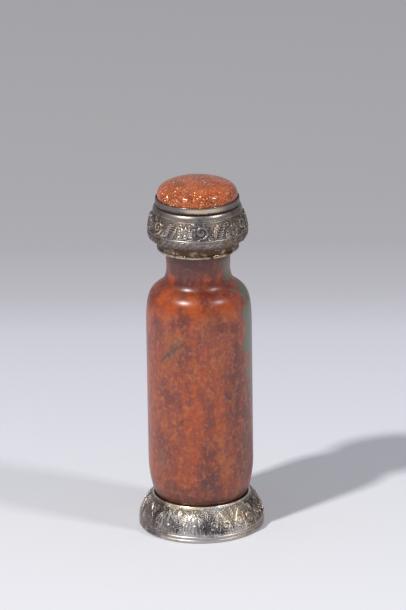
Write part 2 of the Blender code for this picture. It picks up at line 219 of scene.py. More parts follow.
def bump(tree, pattern, strength, depth_mm):
    """A normal that a pattern tilts, as if the pattern were so deep."""
    inputs = {"Height": pattern, "Strength": strength, "Distance": depth_mm * MM}
    return add(tree, "ShaderNodeBump", inputs).outputs[0]


# %% [markdown]
# ## Patches by angle and height
#
# A stain on a turned object is easy to place by its angle round the axis and its height. Noise is added to
# the distance from its middle, which breaks its outline up, so it never looks like a stamped oval.

# %% Places on a turned object
PATCH_RAGGEDNESS = 3.4
PATCH_FADE = (3.0, 2.15)


def around(tree, place):
    """Degrees to the right of the front, and height in mm, as two outputs."""
    axes = add(tree, "ShaderNodeSeparateXYZ", {0: place}).outputs
    behind = calc(tree, "MULTIPLY", axes[1], -1.0)
    return calc(tree, "DEGREES", calc(tree, "ARCTAN2", axes[0], behind)), axes[2]


def patch(tree, azimuth, height, broken, where, strength=1.0):
    """A soft patch with a broken outline, from 0 to strength.

    where is its middle in degrees and mm, its half width in degrees, its half height in mm and its lean in
    degrees for each mm of height.
    """
    middle_deg, middle_mm, half_width, half_height, lean = where
    up = calc(tree, "SUBTRACT", height, middle_mm)
    apart = calc(tree, "SUBTRACT", azimuth, calc(tree, "MULTIPLY_ADD", up, lean, middle_deg))
    aside = calc(tree, "DIVIDE", calc(tree, "WRAP", apart, 180.0, -180.0), half_width)
    above = calc(tree, "DIVIDE", up, half_height)
    squares = calc(tree, "ADD", calc(tree, "POWER", aside, 2.0), calc(tree, "POWER", above, 2.0))
    reach = calc(tree, "MULTIPLY_ADD", broken, PATCH_RAGGEDNESS, calc(tree, "SQRT", squares))
    return ramp(tree, reach, *PATCH_FADE, 0.0, strength)


def new_finish(name):
    """A material with an empty Principled shader, and the object's coordinates in millimetres."""
    material = bpy.data.materials.new(name)
    material.use_nodes = True
    tree = material.node_tree
    coordinates = add(tree, "ShaderNodeTexCoord").outputs["Object"]
    place = vector(tree, "SCALE", {0: coordinates, 3: 1.0 / MM})
    print(f"{name}: a new finish")
    return material, tree, tree.nodes["Principled BSDF"], place


# %% [markdown]
# ## Turning
#
# The bottle, the collar, the bezel and the stone are round, so each is one profile turned about the axis. A
# Screw modifier does that, and the result is kept as a plain mesh.

# %% Turned pieces
SAME_POINT = 0.000002
SHARP_ANGLE = math.radians(40.0)


def plain_mesh(piece, name):
    """The evaluated piece as a plain mesh object of that name; the piece itself is removed."""
    graph = bpy.context.evaluated_depsgraph_get()
    mesh = bpy.data.meshes.new_from_object(piece.evaluated_get(graph))
    mesh.name = name
    bpy.data.objects.remove(piece, do_unlink=True)
    return in_scene(name, mesh)


def turned(name, profile, steps, material, closed=False):
    """Turn a profile of (radius, height) points in mm, which runs down its outer side, about Z."""
    mesh = bpy.data.meshes.new(name + "_profile")
    edges = [(i, i + 1) for i in range(len(profile) - 1)]
    if closed:
        edges.append((len(profile) - 1, 0))
    mesh.from_pydata([(r * MM, 0.0, z * MM) for r, z in profile], edges, [])
    draft = in_scene(name + "_draft", mesh)
    screw = draft.modifiers.new("Turning", "SCREW")
    screw.steps = screw.render_steps = steps
    screw.use_merge_vertices = True
    screw.merge_threshold = SAME_POINT
    screw.use_smooth_shade = True
    piece = plain_mesh(draft, name)
    piece.data.materials.append(material)
    piece.data.set_sharp_from_angle(angle=SHARP_ANGLE)
    print(f"{name}: {len(piece.data.polygons)} faces from {len(profile)} profile points")
    return piece


# %% [markdown]
# ## The jade
#
# The bottle is cut from russet jade, a pebble whose iron-stained skin gives brick red and orange clouds,
# dark purple veins and a few places that stay grey green. Here the clouds are soft spots set in the stone
# by angle and height, with their outlines broken by noise. Specks of three sizes lie over them and cover
# the back too. The green places come after them, because the real ones are clear of specks. Last comes
# painted shade with dirt, darker where the stone goes into the foot and at its lip under the collar.

# %% Jade colours and clouds
BRICK = colour(0.330, 0.046, 0.008)
ROSE_BRICK = colour(0.320, 0.062, 0.026)
RUST = colour(0.430, 0.064, 0.004)
ORANGE = colour(0.470, 0.074, 0.001)
DEEP_RED = colour(0.150, 0.012, 0.004)
TAN = colour(0.400, 0.100, 0.018)
ROSE_BROWN = colour(0.190, 0.042, 0.028)
PLUM = colour(0.120, 0.019, 0.012)
INK_PURPLE = colour(0.052, 0.017, 0.022)
GREEN_GREY = colour(0.125, 0.142, 0.098)
OLIVE = colour(0.180, 0.100, 0.052)
# Painted shade with dirt, for where the stone goes into the foot and at its lip
DIRT_AND_SHADE = colour(0.030, 0.014, 0.010)
PALE_GRAIN = colour(0.52, 0.165, 0.055)

# Each cloud: its colour, then its middle in degrees to the right of the front and in mm of height, its half
# width in degrees, its half height in mm and its lean in degrees for each mm of height, then its strength
CLOUDS = (
    (ROSE_BRICK, (-44, 33.0, 26, 25.0, 0.0), 0.90), (RUST, (-5, 37.0, 14, 15.0, -0.4), 0.85),
    (ROSE_BRICK, (22, 47.0, 16, 7.0, -1.0), 0.8), (PLUM, (44, 37.0, 13, 13.0, 0.3), 0.9),
    (PLUM, (59, 22.0, 16, 18.0, 0.4), 0.85), (DEEP_RED, (0, 61.4, 95, 3.2, 0.0), 0.9),
    (ORANGE, (-44, 58.0, 20, 3.6, 0.0), 0.95), (ORANGE, (-5, 57.6, 13, 3.2, -2.0), 0.95),
    (ORANGE, (37, 56.0, 13, 2.6, 0.0), 0.85), (DEEP_RED, (-72, 57.5, 11, 2.6, 0.0), 0.8),
    (DEEP_RED, (17, 56.0, 8, 2.8, -3.0), 0.75), (DEEP_RED, (-20, 54.6, 13, 1.7, 3.0), 0.8),
    (DEEP_RED, (30, 52.8, 17, 1.5, 0.0), 0.8), (PLUM, (-58, 51.8, 10, 3.2, 0.0), 0.7),
    (TAN, (-30, 50.0, 9, 1.8, 2.0), 0.75), (OLIVE, (-29, 47.2, 9, 2.8, 3.0), 0.8),
    (INK_PURPLE, (-30, 47.0, 3.0, 3.2, 5.5), 0.75), (INK_PURPLE, (-58, 41.7, 6, 2.2, 0.0), 0.75),
    (RUST, (-60, 44.0, 5, 9.0, 0.0), 0.7), (PLUM, (-12, 46.5, 5, 3.0, 0.0), 0.6),
    (TAN, (-4, 42.0, 5, 3.0, 0.0), 0.7), (TAN, (14, 37.5, 7, 2.6, 0.0), 0.6),
    (PLUM, (-38, 36.0, 7, 2.6, -2.0), 0.6), (ORANGE, (-13, 30.0, 6, 7.0, 0.0), 0.6),
    (PLUM, (12, 31.0, 6, 3.0, 0.0), 0.6), (TAN, (-28, 26.0, 6, 2.2, 0.0), 0.6),
    (INK_PURPLE, (-50, 23.0, 6, 3.6, 0.0), 0.6), (OLIVE, (-44, 19.0, 10, 3.0, 0.0), 0.6),
    (RUST, (-9, 18.0, 8, 8.0, 0.0), 0.85), (TAN, (27, 20.5, 8, 8.5, -0.6), 0.95),
    (PLUM, (9, 22.0, 7, 5.5, -1.0), 0.8), (INK_PURPLE, (11, 14.5, 12, 4.4, -1.5), 0.85),
    (PLUM, (-35, 12.0, 24, 2.6, 0.0), 0.7), (PLUM, (82, 30.0, 22, 14.0, 0.0), 0.9),
    (PLUM, (-5, 66.2, 95, 5.2, 0.0), 1.0), (INK_PURPLE, (-35, 65.0, 30, 3.0, 0.0), 0.6),
    (ORANGE, (-135, 30.0, 26, 12.0, 0.0), 0.6), (INK_PURPLE, (128, 22.0, 16, 10.0, 1.0), 0.7),
)


# The grey green places: where they are, and their strength
GREEN_CLOUDS = (
    ((69, 50.5, 13, 13.0, 0.0), 0.9), ((84, 50.0, 16, 14.0, 0.0), 0.9), ((66, 65.0, 20, 3.6, 0.0), 0.7),
    ((168, 34.0, 30, 18.0, 0.8), 0.8),
)

# Each kind of speck: its noise, where that noise begins and ends to show it, its strength and its colour
SPECKS = (
    ("mottle", 0.52, 0.34, 0.75, ROSE_BROWN), ("mottle", 0.50, 0.66, 0.65, TAN),
    ("grain", 0.48, 0.32, 0.65, ROSE_BROWN), ("grain", 0.52, 0.68, 0.55, PALE_GRAIN),
    ("fleck", 0.46, 0.32, 0.45, DEEP_RED), ("fleck", 0.56, 0.70, 0.30, PALE_GRAIN),
)
print(f"{len(CLOUDS)} clouds, {len(GREEN_CLOUDS)} green places and {len(SPECKS)} kinds of speck")


# %% Jade finish
DRAWN_OUT = 0.42
CALM_FROM, CALM_TO, CALM_SPECKS = 50.0, 62.0, 0.35
# How far the painted shade with dirt reaches above the foot's top and below the lip, in mm
FOOT_SHADE_AND_DIRT_REACH = 4.0
LIP_SHADE_AND_DIRT_REACH = 1.6


def jade_tint(tree, place):
    """The stone's colour: broad fields and streaks, then clouds, specks, green places, and painted shade
    with dirt at the foot and the lip.
    """
    azimuth, height = around(tree, place)
    drawn_out = vector(tree, "MULTIPLY", {0: place, 1: (1.0, 1.0, DRAWN_OUT)})
    broad = noise(tree, place, 0.13, 3.0, 0.6)
    streaks = noise(tree, drawn_out, 0.30, 5.0, 0.66, 17.0)
    broken = noise(tree, place, 0.40, 4.0, 0.62, 7.0)
    patterns = {
        "mottle": noise(tree, drawn_out, 0.55, 3.0, 0.60, 29.0),
        "grain": noise(tree, place, 0.95, 3.0, 0.62, 3.0),
        "fleck": noise(tree, place, 2.4, 3.0, 0.65, 11.0),
    }
    tint = blend(tree, ramp(tree, broad, 0.44, 0.56), BRICK, ROSE_BRICK)
    tint = blend(tree, ramp(tree, streaks, 0.49, 0.60, 0.0, 0.85), tint, RUST)
    tint = blend(tree, ramp(tree, streaks, 0.48, 0.38, 0.0, 0.80), tint, PLUM)
    for cloud_colour, where, strength in CLOUDS:
        tint = blend(tree, patch(tree, azimuth, height, broken, where, strength), tint, cloud_colour)
    calm = ramp(tree, height, CALM_FROM, CALM_TO, 1.0, CALM_SPECKS)
    for pattern, start, end, strength, speck in SPECKS:
        shown = ramp(tree, patterns[pattern], start, end, 0.0, strength)
        tint = blend(tree, calc(tree, "MULTIPLY", shown, calm), tint, speck)
    for where, strength in GREEN_CLOUDS:
        tint = blend(tree, patch(tree, azimuth, height, broken, where, strength), tint, GREEN_GREY)
    # Painted shade with dirt: darker where the stone goes into the foot and at the lip under the collar
    foot_shade_and_dirt = ramp(tree, height, FOOT_TOP + FOOT_SHADE_AND_DIRT_REACH, FOOT_TOP - 0.4, 0.0, 0.80)
    lip_shade_and_dirt = ramp(tree, height, BOTTLE_TOP - LIP_SHADE_AND_DIRT_REACH, BOTTLE_TOP, 0.0, 0.6)
    return blend(tree, lip_shade_and_dirt, blend(tree, foot_shade_and_dirt, tint, DIRT_AND_SHADE), DIRT_AND_SHADE)


def jade_finish():
    """Polished russet jade, under a hard wax-like polish that shows the lamps."""
    material, tree, shader, place = new_finish("jade")
    ripple = noise(tree, place, 0.5, 2.0, 0.5, 21.0)
    fill(tree, shader, {
        "Base Color": jade_tint(tree, place), "Roughness": 0.30, "IOR": 1.50, "Specular IOR Level": 0.0,
        "Coat Weight": 1.0, "Coat Roughness": 0.32, "Coat IOR": 1.63, "Subsurface Weight": 0.08,
        "Subsurface Radius": (1.0, 0.45, 0.3), "Subsurface Scale": 0.0008,
        "Normal": bump(tree, ripple, 0.05, 0.2),
    })
    return material


jade = jade_finish()
print(f"jade: {len(jade.node_tree.nodes)} nodes")

# %% [markdown]
# ## The bottle
#
# A lapidary turns the outside and then drills and grinds the hollow through the mouth. The neck runs into
# the shoulder along a soft crease, so two cubic curves meet there with the same slope. The base is a
# quarter of an ellipse that dips into the silver foot.

# %% Bottle sizes
NECK_RADIUS = 7.5
LIP_RADIUS = 7.65
LIP_ROUNDING = 0.25
CREASE_RADIUS = 9.0
CREASE_SLOPE = 1.44
CREASE_DROP = 8.0
NECK_SWEEP = 3.9
SHOULDER_DROP = 11.4
SWEEP_HIGH_HOLD = 0.8
SWEEP_LOW_HOLD = 0.9
SHOULDER_HIGH_HOLD = 0.77
SHOULDER_LOW_HOLD = 0.79
BASE_FLAT = 6.3
BASE_ROUND = 13.6
BORE_RADIUS = 3.8
WALL = 2.8
FLOOR = 3.2
FLOOR_FLAT = 5.4
HOLLOW_SHOULDER_DROP = 8.6
HOLLOW_SHOULDER_RISE = 5.0

crease_z = BOTTLE_TOP - CREASE_DROP
wall_top = crease_z - SHOULDER_DROP
wall_foot = BOTTLE_LOW + BASE_ROUND
print(f"crease at {crease_z:.1f} mm, straight wall from {wall_foot:.1f} to {wall_top:.1f} mm")


# %% Bottle profile
def bottle_outside():
    """From the edge of the mouth down to the middle of the base."""
    inward = SWEEP_LOW_HOLD * (CREASE_RADIUS - NECK_RADIUS)
    outward = SHOULDER_HIGH_HOLD * (BODY_RADIUS - CREASE_RADIUS)
    edge = (LIP_RADIUS - LIP_ROUNDING, BOTTLE_TOP - LIP_ROUNDING)
    lip = ellipse(edge, (LIP_ROUNDING, LIP_ROUNDING), 90, 0, 5)
    sweep = cubic(
        (NECK_RADIUS, crease_z + NECK_SWEEP), (NECK_RADIUS, crease_z + SWEEP_HIGH_HOLD * NECK_SWEEP),
        (CREASE_RADIUS - inward, crease_z + inward / CREASE_SLOPE), (CREASE_RADIUS, crease_z), 24,
    )
    shoulder = cubic(
        (CREASE_RADIUS, crease_z), (CREASE_RADIUS + outward, crease_z - outward / CREASE_SLOPE),
        (BODY_RADIUS, wall_top + SHOULDER_LOW_HOLD * SHOULDER_DROP), (BODY_RADIUS, wall_top), 40,
    )
    base = ellipse((BASE_FLAT, wall_foot), (BODY_RADIUS - BASE_FLAT, BASE_ROUND), 0, -90, 40)
    return lip + sweep + shoulder[1:] + base + [(0.0, BOTTLE_LOW)]


def bottle_inside():
    """From the middle of the floor up to the mouth's edge."""
    radius = BODY_RADIUS - WALL
    floor = BOTTLE_LOW + FLOOR
    shoulder_middle = (BORE_RADIUS, crease_z - HOLLOW_SHOULDER_DROP)
    low = ellipse((FLOOR_FLAT, wall_foot), (radius - FLOOR_FLAT, wall_foot - floor), -90, 0, 16)
    high = ellipse(shoulder_middle, (radius - BORE_RADIUS, HOLLOW_SHOULDER_RISE), 0, 90, 16)
    mouth = [(BORE_RADIUS, BOTTLE_TOP - LIP_ROUNDING), (BORE_RADIUS + LIP_ROUNDING, BOTTLE_TOP)]
    return [(0.0, floor)] + low + high + mouth


# %% Bottle piece
bottle = turned("jade_bottle", bottle_inside() + bottle_outside(), 256, jade)

# %% [markdown]
# ## Chasing silver
#
# The foot and the cap are sheet silver, worked from the front with small punches over pitch. The ornament
# repeats round the axis, so only one repeat is drawn, as a wedge of fine mesh. Forms are laid on it one
# over another, as a chaser works: each is a distance in from its own outline, with a height and dark lines.
# A Geometry Nodes tree then sets the wedge round the axis, joins the copies into one skin and adds the
# small unevenness of handwork.

# %% Drawing on the sheet
def ridge(distance, half_width):
    """A rounded ridge: 1 on its line, 0 from half_width away."""
    share = np.clip(np.abs(distance) / np.maximum(half_width, 1e-6), 0.0, 1.0)
    return np.sqrt(1.0 - share ** 2)


def plateau(distance, start, end, edge):
    """A flat band between start and end, with soft shoulders of width edge."""
    rising = np.clip((distance - start) / edge, 0.0, 1.0)
    falling = np.clip((end - distance) / edge, 0.0, 1.0)
    both = np.minimum(rising, falling)
    return both * both * (3.0 - 2.0 * both)


# %% Distances and lines
def nearest(x, y, line):
    """The distance to a line of points, and how far along the line its nearest point lies, from 0 to 1."""
    line = np.asarray(line, float)
    away = np.full(x.shape, 1e9)
    share = np.zeros(x.shape)
    count = len(line) - 1
    for i in range(count):
        start, along = line[i], line[i + 1] - line[i]
        length2 = max(float(along @ along), 1e-12)
        t = np.clip(((x - start[0]) * along[0] + (y - start[1]) * along[1]) / length2, 0.0, 1.0)
        here = np.hypot(x - start[0] - t * along[0], y - start[1] - t * along[1])
        closer = here < away
        away = np.where(closer, here, away)
        share = np.where(closer, (i + t) / count, share)
    return away, share


def ink(distance, width=0.07):
    """A fine dark line: 1 on its middle, fading to nothing at about twice its width."""
    return np.exp(-((distance / width) ** 2))


# %% A sheet that is being chased
class Sheet:
    """A stretch of silver that is being chased: its height over the ground, and its dark lines."""

    def __init__(self, x, y):
        self.x, self.y = x, y
        self.height = np.zeros(x.shape)
        self.lines = np.zeros(x.shape)

    def lay(self, inside, height, lines, outline=0.9):
        """Lay a form over what is there; inside is the distance in from its outline, in mm."""
        over = inside > 0.0
        self.height = np.where(over, height, self.height)
        self.lines = np.where(over, lines, self.lines)
        self.lines = np.maximum(self.lines, outline * ink(inside + 0.03))

    def stroke(self, line, half_width, height=0.8):
        """One rounded stroke of the tool, thick in its middle and fine at its ends."""
        away, share = nearest(self.x, self.y, line)
        width = half_width * (0.35 + 0.65 * np.sin(math.pi * share) ** 0.7)
        self.lay(width - away, height * (0.35 + 0.65 * ridge(away, width)), 0.0)

    def leaf(self, spine, half_width, lobes, height=0.9):
        """A lobed leaf on a bowed spine, with a middle vein and a vein to each lobe."""
        away, share = nearest(self.x, self.y, spine)
        length = float(np.linalg.norm(np.diff(np.asarray(spine), axis=0), axis=1).sum())
        swell = np.sin(math.pi * np.clip(0.10 + 0.88 * share ** 0.85, 0.0, 1.0))
        width = np.maximum(half_width * swell * (0.84 + 0.16 * np.cos(FULL_TURN * lobes * share)), 1e-4)
        inside = width - away
        dome = np.clip(inside / 0.16, 0.0, 1.0) * (0.72 + 0.28 * ridge(away, width))
        turns = lobes * share - 0.55 * away / half_width
        vein = ink((turns - np.round(turns)) * length / lobes, 0.06) * (away > 0.1)
        vein = np.maximum(vein * 0.8, ink(away, 0.06) * (share < 0.9))
        self.lay(inside, height * dome - 0.25 * vein, vein)

    def ring(self, centre, radius, half_width, height=0.7):
        """A small raised ring."""
        away = np.abs(np.hypot(self.x - centre[0], self.y - centre[1]) - radius)
        self.lay(half_width - away, height * ridge(away, half_width), 0.0)

    def result(self, fade, depth, ground=0.42):
        """Heights in mm, the brightness of each point, and how much of the handwork it takes."""
        height = fade * (self.height - 0.22 * self.lines)
        shine = ground + 0.50 * self.height * fade - 0.62 * self.lines * fade
        return depth * height, np.clip(shine, 0.0, 1.0), fade


# %% Lines to draw along
def arc_line(start, end, bulge, steps=12):
    """A bowed line between two points of the pattern."""
    start, end = np.array(start, float), np.array(end, float)
    along = end - start
    left = np.array([-along[1], along[0]])
    t = np.linspace(0.0, 1.0, steps + 1)[:, None]
    return start + along * t + left * bulge * np.sin(math.pi * t)


def spiral_line(centre, radius, turns, start_deg, steps=26):
    """A curl that winds in to its centre; negative turns wind clockwise."""
    t = np.linspace(0.0, 1.0, steps + 1)
    angle = math.radians(start_deg) + FULL_TURN * turns * t
    reach = radius * (1.0 - 0.88 * t)
    return np.stack([centre[0] + reach * np.cos(angle), centre[1] + reach * np.sin(angle)], axis=1)


# %% Wedges of fine mesh
def skin_lengths(skin):
    """The distance up a skin, from its first point to each of its points, in mm."""
    steps = np.linalg.norm(np.diff(np.array(skin), axis=0), axis=1)
    return np.concatenate([[0.0], np.cumsum(steps)])


def wedge(name, parts, pitch, columns, closed):
    """One repeat of a chased piece as a mesh object.

    parts lists stretches of the profile from the top of its outer side down and round, each with a drawing
    function or with how bright it is. drawing(x, y) gives heights over the ground in mm, brightness and how
    much of the handwork each point takes, for x across the repeat and y up the stretch, in mm.
    """
    angles = np.linspace(-pitch / 2, pitch / 2, columns + 1)
    rings, reliefs, worked = [], [], []
    for stretch, drawing in parts:
        line = np.array(stretch, float)
        if not callable(drawing):
            for radius, height in line:
                rings.append(np.stack([np.full(columns + 1, radius), np.full(columns + 1, height)], axis=1))
                reliefs.append(np.full(columns + 1, drawing))
                worked.append(np.zeros(columns + 1))
            continue
        slope = np.gradient(line, axis=0)
        outward = np.stack([-slope[:, 1], slope[:, 0]], axis=1)
        outward /= np.linalg.norm(outward, axis=1)[:, None]
        lengths = skin_lengths(stretch)
        up = lengths[-1] - lengths
        y = np.repeat(up[:, None], columns + 1, axis=1)
        x = np.repeat(angles[None, :], len(line), axis=0) * float(line[:, 0].mean())
        heights, shine, taken = drawing(x, y)
        for i in range(len(line)):
            rings.append(line[i] + outward[i] * heights[i][:, None])
            reliefs.append(shine[i])
            worked.append(taken[i])
    cosines, sines = np.cos(angles), np.sin(angles)
    points = [np.stack([ring[:, 0] * cosines, ring[:, 0] * sines, ring[:, 1]], axis=1) for ring in rings]
    verts = np.concatenate(points) * MM
    faces = []
    wide = columns + 1
    count = len(rings)
    for i in range(count if closed else count - 1):
        low = (i + 1) % count
        for j in range(columns):
            faces.append((i * wide + j, low * wide + j, low * wide + j + 1, i * wide + j + 1))
    mesh = bpy.data.meshes.new(name)
    mesh.from_pydata(verts.tolist(), [], faces)
    mesh.validate()
    for layer_name, values in (("relief", reliefs), ("worked", worked)):
        layer = mesh.attributes.new(layer_name, "FLOAT", "POINT")
        layer.data.foreach_set("value", np.concatenate(values).astype(np.float32))
    return in_scene(name, mesh)


# %% [markdown]
# ## Set the wedges round the axis
#
# A row of points, one for each repeat, carries the wedges, each turned by its share of a circle. The foot
# has leaves of two kinds, so some places in every six take the other wedge. Realizing the copies and
# merging their edges makes one skin. Only then does seeded noise push it about, so no seam opens, and only
# as far as the attribute called worked says, because plain edges have to stay true.

# %% The unevenness of handwork
SWAYS_PER_METRE = 130.0
DENTS_PER_METRE = 800.0
DENT_DEPTH = 0.00004


def uneven(tree, position, seed, per_metre):
    """A seeded noise node in space."""
    inputs = {"Vector": position, "W": seed, "Scale": per_metre, "Detail": 2.0}
    return add(tree, "ShaderNodeTexNoise", inputs, noise_dimensions="4D")


def handwork(tree, seed, sway, dents):
    """How far each worked point moves: along the skin by its sway, and in or out by its dents."""
    position = add(tree, "GeometryNodeInputPosition").outputs[0]
    normal = add(tree, "GeometryNodeInputNormal").outputs[0]
    worked = add(tree, "GeometryNodeInputNamedAttribute", {"Name": "worked"}, data_type="FLOAT").outputs[0]
    drift = uneven(tree, position, seed, SWAYS_PER_METRE).outputs["Color"]
    centred = vector(tree, "SUBTRACT", {0: drift, 1: (0.5, 0.5, 0.5)})
    aside = vector(tree, "SCALE", {0: centred, 3: calc(tree, "MULTIPLY", worked, sway)})
    through = vector(tree, "DOT_PRODUCT", {0: aside, 1: normal}, "Value")
    along = vector(tree, "SUBTRACT", {0: aside, 1: vector(tree, "SCALE", {0: normal, 3: through})})
    lumps = calc(tree, "SUBTRACT", uneven(tree, position, seed, DENTS_PER_METRE).outputs["Fac"], 0.5)
    depth = calc(tree, "MULTIPLY", calc(tree, "MULTIPLY", lumps, dents), worked)
    return vector(tree, "ADD", {0: along, 1: vector(tree, "SCALE", {0: normal, 3: depth})})


# %% The tree that sets wedges round the axis
RING_INPUTS = (
    ("Wedge", "NodeSocketObject"), ("Other wedge", "NodeSocketObject"), ("Count", "NodeSocketInt"),
    ("Others in six", "NodeSocketInt"), ("First angle", "NodeSocketFloat"), ("Sway", "NodeSocketFloat"),
    ("Dents", "NodeSocketFloat"), ("Seed", "NodeSocketFloat"), ("Finish", "NodeSocketMaterial"),
)


def ring_tree():
    """Geometry Nodes: two kinds of wedge round Z, merged into one skin and made a little uneven."""
    tree = bpy.data.node_groups.new("Ring of repeats", "GeometryNodeTree")
    for name, kind in RING_INPUTS:
        tree.interface.new_socket(name, in_out="INPUT", socket_type=kind)
    tree.interface.new_socket("Geometry", in_out="OUTPUT", socket_type="NodeSocketGeometry")
    asked = add(tree, "NodeGroupInput").outputs
    points = add(tree, "GeometryNodePoints", {"Count": asked["Count"]}).outputs[0]
    index = add(tree, "GeometryNodeInputIndex").outputs[0]
    step = calc(tree, "DIVIDE", FULL_TURN, asked["Count"])
    turn = calc(tree, "MULTIPLY_ADD", index, step, asked["First angle"])
    rotation = add(tree, "ShaderNodeCombineXYZ", {"Z": turn}).outputs[0]
    in_six = calc(tree, "SUBTRACT", calc(tree, "MODULO", index, 6.0), 0.5)
    high_enough = calc(tree, "GREATER_THAN", in_six, 0.0)
    low_enough = calc(tree, "LESS_THAN", in_six, asked["Others in six"])
    is_other = calc(tree, "MULTIPLY", high_enough, low_enough)
    is_first = calc(tree, "SUBTRACT", 1.0, is_other)
    joined = add(tree, "GeometryNodeJoinGeometry")
    for kind, chosen in (("Wedge", is_first), ("Other wedge", is_other)):
        source = add(tree, "GeometryNodeObjectInfo", {"Object": asked[kind], "As Instance": True})
        copies = add(tree, "GeometryNodeInstanceOnPoints", {
            "Points": points, "Selection": chosen, "Instance": source.outputs["Geometry"],
            "Rotation": rotation,
        })
        tree.links.new(copies.outputs[0], joined.inputs[0])
    real = add(tree, "GeometryNodeRealizeInstances", {"Geometry": joined.outputs[0]}).outputs[0]
    skin = add(tree, "GeometryNodeMergeByDistance", {"Geometry": real, "Distance": SAME_POINT}).outputs[0]
    offset = handwork(tree, asked["Seed"], asked["Sway"], asked["Dents"])
    moved = add(tree, "GeometryNodeSetPosition", {"Geometry": skin, "Offset": offset}).outputs[0]
    smooth = add(tree, "GeometryNodeSetShadeSmooth", {"Geometry": moved}).outputs[0]
    finish = {"Geometry": smooth, "Material": asked["Finish"]}
    add(tree, "NodeGroupOutput", {0: add(tree, "GeometryNodeSetMaterial", finish).outputs[0]})
    return tree


RING_TREE = ring_tree()
print(f"ring of repeats: {len(RING_TREE.nodes)} nodes, {len(RING_INPUTS)} inputs")


# %% Run the tree on a wedge
def set_round(name, wedges, count, first_deg, finish, sway, seed, others=0):
    """Run the ring tree on one or two wedges and keep the result as a plain mesh."""
    host = in_scene(name + "_host", bpy.data.meshes.new(name + "_host"))
    ring = host.modifiers.new("Ring of repeats", "NODES")
    ring.node_group = RING_TREE
    values = {
        "Wedge": wedges[0], "Other wedge": wedges[-1], "Count": count, "Others in six": others,
        "First angle": math.radians(first_deg), "Sway": sway, "Dents": DENT_DEPTH, "Seed": seed,
        "Finish": finish,
    }
    for item in RING_TREE.interface.items_tree:
        if item.in_out == "INPUT":
            ring[item.identifier] = values[item.name]
    piece = plain_mesh(host, name)
    for source in wedges:
        bpy.data.objects.remove(source, do_unlink=True)
    print(f"{name}: {len(piece.data.polygons)} faces in {count} repeats")
    return piece


# %% [markdown]
# ## Old silver
#
# Silver darkens where a cloth can't reach it, so the cut lines are nearly black and the high points stay
# bright. The drawing writes how bright each point should be into an attribute called relief, and the
# finish reads it. Traces of old gilding warm the silver in patches, and others carry tarnish. A few
# patches in front carry painted highlights, and broad ones at both sides carry painted shade.

# %% Silver finish
GILT = colour(1.0, 0.90, 0.70)
SOILED = 0.60
GRITTY = 0.40


def silver_finish(name, tones, shine, patch_seed, tarnish_and_painted_light, gilded):
    """Chased silver: dark in the cut lines, grey on the ground, bright on the ridges, with worn gilding.

    The first list holds patches as (where, the tone that multiplies them): tarnish, painted shade at both
    sides and painted highlights in front. gilded lists the patches that keep more gilding.
    """
    dark, middle, bright = tones
    material, tree, shader, place = new_finish(name)
    azimuth, height = around(tree, place)
    relief = add(tree, "ShaderNodeAttribute", attribute_name="relief").outputs["Fac"]
    cloud = noise(tree, place, 0.30, 3.0, 0.6, patch_seed)
    broken = noise(tree, place, 0.55, 4.0, 0.65, patch_seed + 3.0)
    grit = noise(tree, place, 4.0, 2.0, 0.6, patch_seed + 5.0)
    level = calc(tree, "MULTIPLY_ADD", calc(tree, "SUBTRACT", cloud, 0.5), SOILED, relief)
    level = calc(tree, "MULTIPLY_ADD", calc(tree, "SUBTRACT", grit, 0.5), GRITTY, level)
    warm = ramp(tree, noise(tree, place, 0.20, 2.0, 0.5, patch_seed + 9.0), 0.46, 0.62, 0.0, 0.5)
    for where in gilded:
        warm = calc(tree, "MAXIMUM", warm, patch(tree, azimuth, height, broken, where, 0.95))
    clean = ramp(tree, level, 0.02, 0.40)
    metal_and_painted_light = blend(tree, ramp(tree, level, 0.50, 0.95), middle, bright)
    metal_and_painted_light = blend(tree, warm, metal_and_painted_light, blend(tree, 1.0, metal_and_painted_light, GILT, "MULTIPLY"))
    # Tarnish, painted shade at both sides and painted highlights in front
    for where, tone in tarnish_and_painted_light:
        metal_and_painted_light = blend(tree, patch(tree, azimuth, height, broken, where), metal_and_painted_light, tone, "MULTIPLY")
    fill(tree, shader, {
        "Base Color": blend(tree, clean, dark, metal_and_painted_light), "Metallic": 0.95,
        "Roughness": ramp(tree, level, 0.2, 0.9, 0.48, shine), "Normal": bump(tree, grit, 0.3, 0.04),
    })
    return material


# %% Tones and patches of the two silver pieces
# Tones: in the cut lines, on the ground and on the ridges. Patches are written as the jade's clouds are.
FOOT_TONES = (colour(0.085, 0.076, 0.075), colour(0.55, 0.510, 0.493), colour(0.92, 0.86, 0.80))
CAP_TONES = (colour(0.095, 0.080, 0.073), colour(0.29, 0.252, 0.234), colour(0.60, 0.545, 0.50))
# Brown tarnish; the broad patches at both sides use it as painted shade
BROWN_TARNISH_AND_SHADE = colour(0.66, 0.60, 0.56)
BLUED = colour(0.56, 0.56, 0.60)
# Painted highlight: brightens the patches in front where the lamps shine on the silver
PAINTED_HIGHLIGHT_TONE = colour(1.30, 1.28, 1.24)
